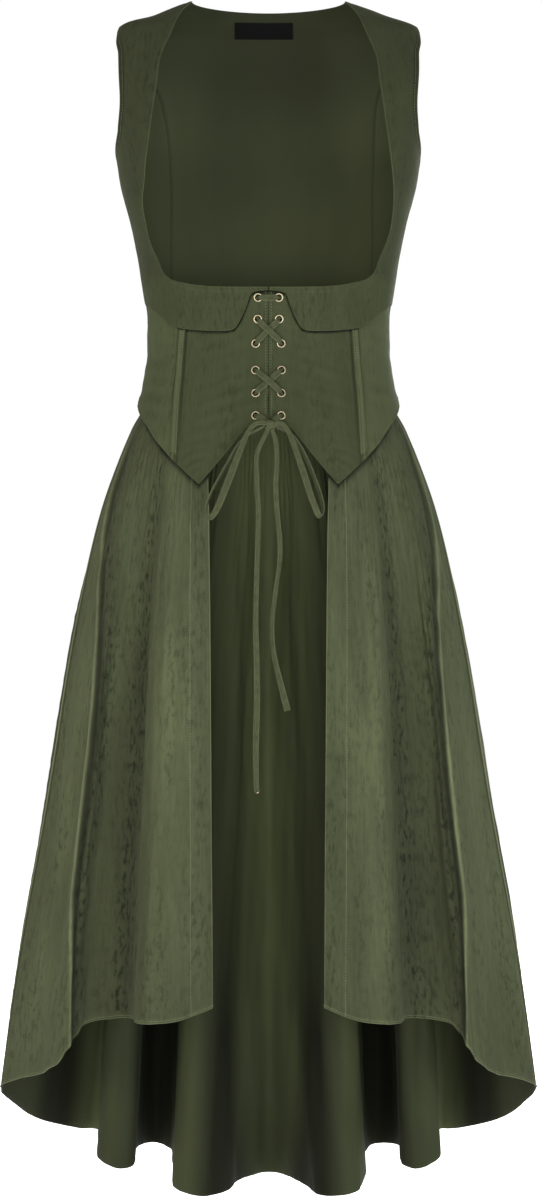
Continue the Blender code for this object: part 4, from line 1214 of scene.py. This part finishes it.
def skirtPanel(name, first, last, columns, rows, seed):
    # Columns stand evenly along a line between the hem's folds and the waist
    fine = np.linspace(first, last, 2000)
    run, waistRun = (runOf(skirtPoint(fine, np.full(len(fine), down))) for down in (1.0, 0.02))
    blend = 0.6 * run / run[-1] + 0.4 * waistRun / waistRun[-1]
    fold = np.interp(shares(columns, run[-1] * 0.75), blend, fine)
    fold, down = np.broadcast_arrays(fold[:, None], shares(rows, skirt["length"])[None])
    fold = seamMoved(fold, down)
    base = skirtPoint(fold, down)
    normal = normalsOf(skirtPoint, fold, np.clip(down, 3e-3, 0.997), 3e-3)
    sideSeams = [(0, number) for number, at in enumerate((first, last)) if at not in (0, lastFold)]
    base = lapped(base - normal * shell["thick"], *sideSeams)
    edges = edgesOf(base)
    across, along = edges["first"]
    hem, rubAndHighlight = sewnEdge("narrow", *edges["foot"], seed)
    turn = fold * skirt["perFold"]
    free = smoothStep(down, 0.06, 0.5)
    loose = 1.3 * free * soft(turn, along, (62, 520), seed + 1)
    loose = loose + 0.8 * smoothStep(down, 0.03, 0.2) * soft(turn, along, (27, 260), seed + 2)
    loose = loose + 0.35 * smoothStep(down, 0.1, 0.2) * soft(across, along, (17, 48), seed + 3)
    # Gathers press into the waist seam for a hand's width below it
    loose = loose + 0.7 * hump(down, 0.09, 0.08) * soft(turn, along, (15, 90), seed + 4)
    # The loose ripples die out towards a side seam, where the two panels meet
    for _, end in sideSeams:
        loose = loose * smoothStep(edges["last" if end else "first"][0], 1.5, 16)
    relief = hem + loose
    # Painted shade on the outer and inner faces, from the fold tables
    outerPaintedShade, inside = (foldShade(skirt[key], fold, down) for key in ("outsideShade", "insideShade"))
    creaseFold = np.interp(down[0], column(skirt["sideCrease"], 0), column(skirt["sideCrease"], 1))
    beyond = np.interp(down[0], *np.transpose(skirt["beyondCrease"]))
    crush = 0.9 * hump(np.minimum(fold, lastFold - fold), 4.4, 0.5) + 0.15
    if first != seamFold:
        mirrored = last == lastFold
        creaseFold = lastFold - creaseFold if mirrored else creaseFold
        there = np.array([np.interp(creaseFold[j], fold[:, j], across[:, j]) for j in range(fold.shape[1])])
        past = (there - across if mirrored else across - there) * np.ones_like(fold)
        fades = smoothStep(down, 0.02, 0.12)
        relief = relief + fades * (1.7 * hump(past, 3.2, 3.6) - 1.5 * hump(past, -5, 6))
        # A painted highlight along the crease's turned edge
        rubAndHighlight = rubAndHighlight + 0.5 * fades * hump(past, 2.2, 2.4)
        # Painted shade: the levels beyond the crease, and a darker band on its inner side
        outerPaintedShade = outerPaintedShade + (beyond - outerPaintedShade) * smoothStep(past, -0.8, 2.5)
        outerPaintedShade = outerPaintedShade + 0.3 * fades * hump(past, -3, 7) * (past < 2)
        crush = np.maximum(crush, 0.95 * hump(past, -15, 11))
    # Painted shade where the skirt comes out under the waist seam
    outerPaintedShade = outerPaintedShade + 0.75 * hump(edges["top"][0], 0, 3.2)
    # Painted shadow under the corset's lower edge, on the front panels
    if first != seamFold:
        outerPaintedShade = outerPaintedShade + corsetShadowPaint(base)
    # The grain fans out with the folds
    grain = np.broadcast_to(across[:, int(0.6 * across.shape[1])][:, None], fold.shape)
    for key, at in (("first", first), ("last", last)):
        if at in (0, lastFold):
            facing, worn = sewnEdge("facing", *edges[key], seed + 5)
            edge = 0.9 * hump(edges[key][0], 0, 1.0)
            relief, rubAndHighlight = relief + facing, rubAndHighlight + worn * 0.75 + edge * 0.4
            crease = hump(edges[key][0], skirt["facing"], 16) * smoothStep(down, 0.04, 0.1)
            relief = relief + 0.28 * crease * soft(across, along, (12, 15), seed + 6)
        else:
            ridge, worn = sewnEdge("ridge", *edges[key], seed + 7)
            relief, rubAndHighlight = relief + ridge, rubAndHighlight + worn
            # Painted shade beside the raised side seam
            outerPaintedShade = outerPaintedShade + 0.5 * hump(edges[key][0], 3.4, 1.4)
            # Painted shade on the back panel near the side seams, from a tenth to most of the way down
            if name == "skirt_back":
                atSide = smoothStep(down, 0.1, 0.25) * (1 - smoothStep(down, 0.6, 0.95))
                outerPaintedShade = outerPaintedShade + 0.36 * (1 - smoothStep(edges[key][0], 10, 24)) * atSide
    made, outer = clothPanel(
        name + "_cloth", base, normal, 1, relief, rubAndHighlight, edges, (skirtSuede, backing),
        painted_shade=(outerPaintedShade, inside), crush=crush, place=(grain, -base[..., 2]))
    return made, outer, edges


def makeSkirt():
    plans = (
        # name, first fold, last fold, columns, rows, seed, hangs from
        ("skirt_front_right", 0, seamFold, 150, 150, 70, "corset_front_right_cloth"),
        ("skirt_front_left", lastFold - seamFold, lastFold, 150, 150, 90, "corset_front_left_cloth"),
        ("skirt_back", seamFold, lastFold - seamFold, 380, 112, 110, "back_centre_cloth"),
    )
    for name, first, last, columns, rows, seed, hangsFrom in plans:
        made, outer, edges = skirtPanel(name, first, last, columns, rows, seed)
        ownCloth(made, name)
        stitchAlong(outer, edges, "foot", skirt["hemStitchIn"], 0.01, 0.99)
        for key, at in (("first", first), ("last", last)):
            if at in (0, lastFold):
                stitchAlong(outer, edges, key, skirt["facing"] * skirt["facingStitch"], 0.03, 0.97)


makeSkirt()

print("lace, bow and eyelets")
tie = {
    "width": 5.4,
    "laceWidth": 6.4,
    "wall": 2.0,
    "inHole": 3.5,
    "sides": 20,
    "ringEvery": 1.6,
    "crease": 0.3,
    "knotCentre": (1.5, -113.5, -462),
    "knotHalf": (5.4, 3.4, 4.6),
}
freeTies = {
    # the route of each free end and bow loop, from the knot, as the solids have it;
    # widths along it, turn of its flat side in degrees along it
    "lace_tail_left": {
        "route": (
            (-0.3, -113.8, -466.9), (-5.5, -115, -477), (-12.5, -112, -495), (-12, -111, -525),
            (-10.5, -110, -555), (-12, -110, -610), (-13.3, -110, -667), (-12.3, -110, -710),
            (-12, -110, -750), (-13.2, -110, -800), (-12.6, -110, -838), (-11.3, -110, -846),
        ),
        "widths": (4.4, 5.2, 5.4, 5.6, 6.4, 6.7, 5.4),
        "turn": (0, 14, -16, 10, -12, 8, 0),
        "length": 0.3825, "farEnd": "fitting",
    },
    "lace_tail_right": {
        "route": (
            (3.4, -112.3, -466.3), (7.8, -109, -480), (8.9, -105, -500), (7.8, -102, -527),
            (9.4, -100, -556), (12, -99, -584), (11.6, -98, -606), (7.4, -98, -636),
            (3.9, -98, -667), (5, -98, -697), (10.6, -98, -724), (20, -98, -761),
        ),
        "widths": (4.4, 5.4, 5.6, 5.2, 4.8, 6.0, 7.2),
        "turn": (0, -20, 25, -30, 20, 30, 4),
        "length": 0.299, "farEnd": "bare",
    },
    "lace_loop_left": {
        "route": (
            (-3.9, -115.3, -460.2), (-11, -117, -460), (-17, -116, -464), (-22, -118, -471),
            (-27.5, -121, -484), (-34.5, -124, -502), (-43, -127, -524), (-50.5, -128, -543),
            (-56.5, -126, -555), (-61.5, -121, -559), (-65, -115, -554), (-64, -111, -544),
            (-59, -110, -531), (-51, -110, -516), (-42, -110, -500), (-32, -111, -483),
            (-22, -111, -473), (-13, -110.5, -468), (-3.7, -111.8, -463.7),
        ),
        "widths": (4.6, 5.6, 7.2, 7.4, 6.0, 5.6, 5.4, 5.0, 4.4),
        "turn": (0, 0, 12, 16, 10, 0, 0, 0, 0),
        "length": 0.2476, "farEnd": "object",
    },
    "lace_loop_right": {
        "route": (
            (7.2, -115.3, -460.2), (14, -117, -461), (19.5, -117, -467), (25, -120, -479),
            (31, -123, -496), (37, -126, -514), (43, -128, -533), (48, -129, -547),
            (52, -126, -556), (55, -120, -557), (57, -115, -549), (54, -112, -534),
            (48, -110.5, -517), (41, -110, -500), (33, -110, -484), (23, -110.5, -471.5),
            (15.5, -110.5, -467), (6.9, -111.7, -463.3),
        ),
        "widths": (4.6, 5.6, 6.6, 6.8, 6.0, 5.6, 5.4, 5.0, 4.4),
        "turn": (0, 0, -10, -16, -8, 0, 0, 0, 0),
        "length": 0.2332, "farEnd": "object",
    },
}


def tieMesh(name, route, ways, widths, walls=None, closed=False):
    # A folded flat tie swept along its route; ways point out of its flat side
    count, sides = len(route), tie["sides"]
    route, ways = np.asarray(route, float), np.asarray(ways, float)
    if closed:
        along = np.roll(route, -1, 0) - np.roll(route, 1, 0)
    else:
        along = np.gradient(route, axis=0)
    along /= np.linalg.norm(along, axis=1, keepdims=True)
    across = np.cross(along, ways)
    across /= np.linalg.norm(across, axis=1, keepdims=True)
    up = np.cross(across, along)
    turn = math.tau * (np.arange(sides) + 0.5) / sides
    x = np.sign(np.cos(turn)) * np.abs(np.cos(turn)) ** 0.8
    y = np.sign(np.sin(turn)) * np.abs(np.sin(turn)) ** 0.7
    y = y * (1 - tie["crease"] * np.exp(-(x / 0.3) ** 2))
    wall = tie["wall"] if walls is None else np.asarray(walls)[:, None, None]
    points = route[:, None] + across[:, None] * (x[None, :, None] * np.asarray(widths)[:, None, None] / 2)
    points = points + up[:, None] * (y[None, :, None] * wall / 2)
    index = np.arange(count * sides).reshape(count, sides)
    ahead = np.roll(index, -1, 0) if closed else index[1:]
    here = index if closed else index[:-1]
    quads = np.stack([here, np.roll(here, -1, 1), np.roll(ahead, -1, 1), ahead], -1).reshape(-1, 4)
    faces = quads.tolist()
    if not closed:
        faces += [index[0, ::-1].tolist(), index[-1].tolist()]
    mesh = bpy.data.meshes.new(name)
    mesh.from_pydata((points.reshape(-1, 3) * mm).tolist(), [], faces)
    mesh.materials.append(tieSuede)
    shift = (sum(map(ord, name)) % 13) * 0.21
    uv = np.stack(np.broadcast_arrays(x[None] * 2.7 * mm, runOf(route)[:, None] * mm + shift), -1)
    keepUv(mesh, uv.reshape(-1, 2))
    keepValue(mesh, "rubAndHighlight", np.broadcast_to(np.abs(x) ** 6 * 0.8, (count, sides)))
    mesh.shade_smooth()
    mesh.set_sharp_from_angle(angle=math.radians(60))
    return addObject(name, mesh)


def evenly(route, step):
    # The rounded route with a point every step mm
    fine = rounded(route, np.linspace(0, len(route) - 1, 60 * len(route)))
    run = runOf(fine)
    at = np.linspace(0, run[-1], int(run[-1] / step) + 1)
    return np.stack([np.interp(at, run, fine[:, k]) for k in range(3)], -1)


def carried(path, way, turns):
    # The way out of the flat side, carried along the path and turned by degrees
    ways = [np.array(way, float)]
    along = np.gradient(path, axis=0)
    along /= np.linalg.norm(along, axis=1, keepdims=True)
    for tangent in along[1:]:
        last = ways[-1]
        last = last - tangent * np.dot(last, tangent)
        ways.append(last / np.linalg.norm(last))
    turned = []
    for way, tangent, angle in zip(ways, along, np.radians(turns)):
        side = np.cross(tangent, way)
        turned.append(way * math.cos(angle) + side * math.sin(angle))
    return np.array(turned)


def ownTie(made, node=None):
    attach(made, root)
    if node:
        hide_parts(node)


def makeFreeTies():
    for name, plan in freeTies.items():
        path = evenly(plan["route"], tie["ringEvery"])
        share = np.linspace(0, 1, len(path))
        widths, turns = (
            rounded(np.array(values)[:, None], share * (len(values) - 1))[:, 0]
            for values in (plan["widths"], plan["turn"]))
        made = tieMesh(name + "_tie", path, carried(path, (0, -1, 0), turns), widths)
        ownTie(made, name)
        tips = []
        if plan["farEnd"] == "fitting":
            tips = [makeTip(path)]


def makeTip(path):
    # A small metal ring that closes the end of the tie
    centre, along = path[-1], path[-1] - path[-4]
    ring, tube, sides, parts = 1.9, 0.55, 10, 28
    frameTurn = Vector(along).to_track_quat("Z", "Y").to_matrix()
    points, faces = [], []
    for i in range(parts):
        a = math.tau * i / parts
        for j in range(sides):
            b = math.tau * j / sides
            reach = tube * math.cos(b)
            x, y = (ring + reach) * math.cos(a), (ring * 0.8 + reach) * math.sin(a)
            points.append((Vector(centre) + frameTurn @ Vector((x, y, tube * 1.6 * math.sin(b)))) * mm)
    for i in range(parts):
        for j in range(sides):
            a, b = i * sides + j, i * sides + (j + 1) % sides
            step = sides if i < parts - 1 else -i * sides
            faces.append([a, a + step, b + step, b])
    mesh = bpy.data.meshes.new("lace_tip")
    mesh.from_pydata(points, [], faces)
    mesh.materials.append(brass)
    mesh.shade_smooth()
    made = addObject("lace_tip", mesh)
    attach(made, root)
    return made


def laceRun(name, start, end, over, inside=False, meet=None):
    # A stretch of lace from one eyelet to another, or to the knot, across either face
    pointA, wayA = place(start[0], *eyelets["rows"][start[1]])
    pointB, wayB = place(end[0], *eyelets["rows"][end[1]])
    rim = 0.9 if inside else 3.0
    lift = rim + 0.3 + tie["wall"] / 2
    if inside:
        wayA, wayB = -wayA, -wayB
    if meet:
        pointB = Vector(meet) - wayA * lift
        wayB = wayA
    along = (pointB - pointA).normalized()
    wayMid = (wayA + wayB) / 2

    def dip(point, way, ahead):
        # Out of the hole and over its rim: spot, tilt, width
        return [
            (point - way * 1.2 + ahead * 0.6, -ahead, tie["inHole"]),
            (point + way * lift * 0.45 + ahead * 1.0, -ahead, tie["inHole"]),
            (point + way * lift * 0.9 + ahead * 2.0, way - ahead, tie["inHole"] * 1.15),
            (point + way * lift + ahead * 4.6, way, tie["laceWidth"]),
        ]

    route = dip(pointA, wayA, along)
    if meet:
        route.append((pointB + wayB * lift, wayB, tie["width"] * 0.8))
    else:
        middle = pointA.lerp(pointB, 0.5) + wayMid * (lift + over)
        route.append((middle, wayMid, tie["laceWidth"]))
        route += dip(pointB, wayB, -along)[::-1]
    at = np.linspace(0, len(route) - 1, 9 * (len(route) - 1) + 1)
    path = rounded([tuple(r[0]) for r in route], at)
    ways = straight([tuple(r[1].normalized()) for r in route], at)
    widths = rounded([(r[2],) for r in route], at)[:, 0]
    ownTie(tieMesh(name + "_tie", path, ways, widths), name)


def makeLacing():
    for side, word in sideWords:
        for row in (0, 2, 4):
            laceRun(f"lace_inside_{word}_{row // 2 + 1}", (side, row), (side, row + 1), 0, inside=True)
    laceRun("lace_bar", (left, 0), (right, 0), 0.6)
    for word, row in (("upper", 1), ("lower", 3)):
        laceRun(f"lace_{word}_under", (right, row), (left, row + 1), -0.8)
        laceRun(f"lace_{word}_over", (left, row), (right, row + 1), 2.0)
    x, y, z = tie["knotCentre"]
    for side, word in sideWords:
        meet = (x + side * tie["knotHalf"][0] * 0.62, y + 1.6, z + tie["knotHalf"][2] + 0.6)
        laceRun(f"lace_to_knot_{word}", (side, 5), (side, 5), 0, meet=meet)


def makeKnot():
    # The tie's own wraps: one round the middle, and one laid over it from the left
    centre = np.array(tie["knotCentre"], float)
    halfX, halfY, halfZ = tie["knotHalf"]
    turn = np.linspace(0, math.tau, 40, endpoint=False)
    lean = 0.32
    ring = centre + np.stack([
        lean * halfZ * np.cos(turn), -(halfY - 0.9) * np.sin(turn), (halfZ - 1.0) * np.cos(turn)], -1)
    ways = np.stack([0 * turn, -np.sin(turn), np.cos(turn)], -1)
    ownTie(tieMesh("lace_knot_wrap", ring, ways, np.full(len(turn), 5.8), closed=True), "lace_knot")
    strands = (
        # name, the way out of its flat side, its route from the knot's centre
        ("lace_knot_bridge", (0, -1, 0.2), (
            (-halfX - 1.5, -1.6, 1.2), (-halfX * 0.4, -2.4, 2.6), (halfX * 0.3, -3.1, 2.4),
            (halfX * 0.75, -2.6, 0.2), (halfX * 0.5, -1.4, -3.2))),
        ("lace_knot_under", (0, -1, 0), (
            (halfX + 1.6, -1.4, 1.4), (halfX * 0.3, -1.2, -1.2), (-halfX * 0.4, -1.8, -3.0),
            (-halfX * 0.7, -0.8, -4.2))),
    )
    for name, way, route in strands:
        path = evenly(centre + np.array(route), 0.7)
        ownTie(tieMesh(name, path, carried(path, way, np.zeros(len(path))), np.full(len(path), 4.2)))


def plain(source, name):
    # The evaluated result of a piece's nodes as a plain mesh object at the origin
    ready = source.evaluated_get(bpy.context.evaluated_depsgraph_get())
    mesh = bpy.data.meshes.new_from_object(ready)
    bpy.data.objects.remove(source)
    mesh.name = name
    return addObject(name, mesh)


def newTree(name, inputs):
    tree = bpy.data.node_groups.new(name, "GeometryNodeTree")
    tree.interface.new_socket("Geometry", in_out="INPUT", socket_type="NodeSocketGeometry")
    for label, value in inputs.items():
        kind = "NodeSocketMaterial" if value is None else "NodeSocketFloat"
        socket = tree.interface.new_socket(label, in_out="INPUT", socket_type=kind)
        if value is not None:
            socket.default_value = value
    tree.interface.new_socket("Geometry", in_out="OUTPUT", socket_type="NodeSocketGeometry")
    return tree, addNode(tree, "NodeGroupInput").outputs


def runTree(source, tree, values):
    step = source.modifiers.new(tree.name, "NODES")
    step.node_group = tree
    for item in tree.interface.items_tree:
        if item.in_out == "INPUT" and item.name in values:
            step[item.identifier] = values[item.name]


def eyeletTree():
    # A domed ring, a barrel through the cloth and a washer behind, at each point
    tree, given = newTree("set eyelets", {
        "Ring radius": 0.0039, "Ring wall": 0.00084, "Dome": 0.75, "Barrel radius": 0.0031,
        "Barrel length": 0.0042, "Barrel wall": 0.0004, "Brass": None, "Shaded brass": None,
    })
    ringPath = addNode(tree, "GeometryNodeCurvePrimitiveCircle", {
        "Resolution": 40, "Radius": given["Ring radius"]})
    ringWall = addNode(tree, "GeometryNodeCurvePrimitiveCircle", {
        "Resolution": 14, "Radius": given["Ring wall"]})
    ring = addNode(tree, "GeometryNodeCurveToMesh", {
        "Curve": ringPath.outputs[0], "Profile Curve": ringWall.outputs[0]})
    flatter = addNode(tree, "ShaderNodeCombineXYZ", {"X": 1.0, "Y": 1.0, "Z": given["Dome"]})
    dome = addNode(tree, "GeometryNodeTransform", {"Geometry": ring.outputs[0], "Scale": flatter.outputs[0]})
    washer = addNode(tree, "GeometryNodeTransform", {
        "Geometry": ring.outputs[0], "Scale": (1.0, 1.0, 0.35), "Translation": (0, 0, -0.0029)})
    barrelPath = addNode(tree, "GeometryNodeCurvePrimitiveCircle", {
        "Resolution": 40, "Radius": given["Barrel radius"]})
    barrelWall = addNode(tree, "GeometryNodeCurvePrimitiveQuadrilateral", {
        "Width": given["Barrel wall"], "Height": given["Barrel length"]}, mode="RECTANGLE")
    barrel = addNode(tree, "GeometryNodeCurveToMesh", {
        "Curve": barrelPath.outputs[0], "Profile Curve": barrelWall.outputs[0]})
    lower = addNode(tree, "GeometryNodeTransform", {
        "Geometry": barrel.outputs[0], "Translation": (0, 0, -0.0017)})
    pale = addNode(tree, "GeometryNodeJoinGeometry")
    for part in (dome, washer):
        tree.links.new(part.outputs[0], pale.inputs[0])
    pale = addNode(tree, "GeometryNodeSetMaterial", {
        "Geometry": pale.outputs[0], "Material": given["Brass"]})
    # The barrel gets the dark brass, painted shade inside the hole
    lower = addNode(tree, "GeometryNodeSetMaterial", {
        "Geometry": lower.outputs[0], "Material": given["Shaded brass"]})
    whole = addNode(tree, "GeometryNodeJoinGeometry")
    for part in (pale, lower):
        tree.links.new(part.outputs[0], whole.inputs[0])
    facing = addNode(tree, "GeometryNodeInputNamedAttribute", {"Name": "facing"}, data_type="FLOAT_VECTOR")
    turn = addNode(tree, "FunctionNodeAlignRotationToVector", {"Vector": facing.outputs[0]}, axis="Z")
    spots = addNode(tree, "GeometryNodeInstanceOnPoints", {
        "Points": given["Geometry"], "Instance": whole.outputs[0], "Rotation": turn.outputs[0]})
    solid = addNode(tree, "GeometryNodeRealizeInstances", {"Geometry": spots.outputs[0]})
    smooth = addNode(tree, "GeometryNodeSetShadeSmooth", {"Geometry": solid.outputs[0]})
    addNode(tree, "NodeGroupOutput", {"Geometry": smooth.outputs[0]})
    return tree


def makeEyelets():
    for side, word in sideWords:
        out = shell["thick"] + eyelets["lift"] - eyelets["sunk"]
        spots = [place(side, x, z, out) for x, z in eyelets["rows"]]
        mesh = bpy.data.meshes.new("eyelet_spots")
        mesh.from_pydata([spot * mm for spot, _ in spots], [], [])
        facing = mesh.attributes.new("facing", "FLOAT_VECTOR", "POINT")
        facing.data.foreach_set("vector", np.array([tuple(way) for _, way in spots], np.float32).ravel())
        source = addObject("eyelet_spots", mesh)
        runTree(source, eyeletTree(), {"Brass": brass, "Shaded brass": shadedBrass})
        made = plain(source, f"eyelets_{word}")
        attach(made, root)
        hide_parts(*[f"eyelet_{word}_{k + 1}" for k in range(len(eyelets["rows"]))])


def stitchTree():
    # A small bead of thread at each pitch along every line, turned along it
    tree, given = newTree("topstitching", {
        "Stitch pitch": 0.003, "Stitch length": 0.0023, "Thread radius": 0.00028, "Thread": None,
    })
    points = addNode(tree, "GeometryNodeResampleCurve", {
        "Curve": given["Geometry"], "Length": given["Stitch pitch"]}, mode="LENGTH")
    bead = addNode(tree, "GeometryNodeMeshIcoSphere", {"Radius": 1.0, "Subdivisions": 1})
    half = addNode(tree, "ShaderNodeMath", {0: given["Stitch length"], 1: 0.5}, operation="MULTIPLY")
    size = addNode(tree, "ShaderNodeCombineXYZ", {
        "X": given["Thread radius"], "Y": given["Thread radius"], "Z": half.outputs[0]})
    tangent = addNode(tree, "GeometryNodeInputTangent")
    turn = addNode(tree, "FunctionNodeAlignRotationToVector", {"Vector": tangent.outputs[0]}, axis="Z")
    spots = addNode(tree, "GeometryNodeInstanceOnPoints", {
        "Points": points.outputs[0], "Instance": bead.outputs[0],
        "Rotation": turn.outputs[0], "Scale": size.outputs[0]})
    solid = addNode(tree, "GeometryNodeRealizeInstances", {"Geometry": spots.outputs[0]})
    smooth = addNode(tree, "GeometryNodeSetShadeSmooth", {"Geometry": solid.outputs[0]})
    finish = addNode(tree, "GeometryNodeSetMaterial", {
        "Geometry": smooth.outputs[0], "Material": given["Thread"]})
    addNode(tree, "NodeGroupOutput", {"Geometry": finish.outputs[0]})
    return tree


def makeStitches():
    curve = bpy.data.curves.new("stitch_lines", "CURVE")
    curve.dimensions = "3D"
    for line in stitchLines:
        spline = curve.splines.new("POLY")
        spline.points.add(len(line) - 1)
        placed = np.column_stack([line * mm, np.ones(len(line))])
        spline.points.foreach_set("co", placed.astype(np.float32).ravel())
    source = addObject("stitch_lines", curve)
    runTree(source, stitchTree(), {"Thread": thread})
    made = plain(source, "topstitching")
    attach(made, root)
    print("stitch triangles", len(made.data.polygons))


makeFreeTies()
makeLacing()
makeKnot()
makeEyelets()

print("label")
labelPlan = {"halfWidth": 32, "top": -9.5, "foot": -26, "shift": -5.3, "gap": 1.2, "wall": 0.5}


def makeLabel():
    # A blank woven label, sewn to the inside of the centre back
    x = labelPlan["shift"] + (shares(40, 64) * 2 - 1) * labelPlan["halfWidth"]
    z = np.interp(shares(14, 16.5), [0, 1], [labelPlan["top"], labelPlan["foot"]])
    gridX, gridZ = np.meshgrid(x, z, indexing="ij")
    base, outward = onTorso(atBack(np.abs(gridX), gridZ))
    normal = -outward
    for part in (base, normal):
        part[..., 0] *= np.where(gridX < 0, -1, 1)
    edges = edgesOf(base)
    fold = np.minimum(edges["first"][0], edges["last"][0])
    relief = 0.3 * (1 - smoothStep(fold, 2.5, 3.5)) + 0.1 * soft(gridX, gridZ, (60, 40), 5)
    made, _ = clothPanel(
        "label_cloth", base + normal * labelPlan["gap"], normal, 1, relief, 0 * relief, edges,
        (wovenBlack, wovenBlack), thick=labelPlan["wall"])
    ownCloth(made, "label")


makeLabel()

print("stitches")
makeStitches()
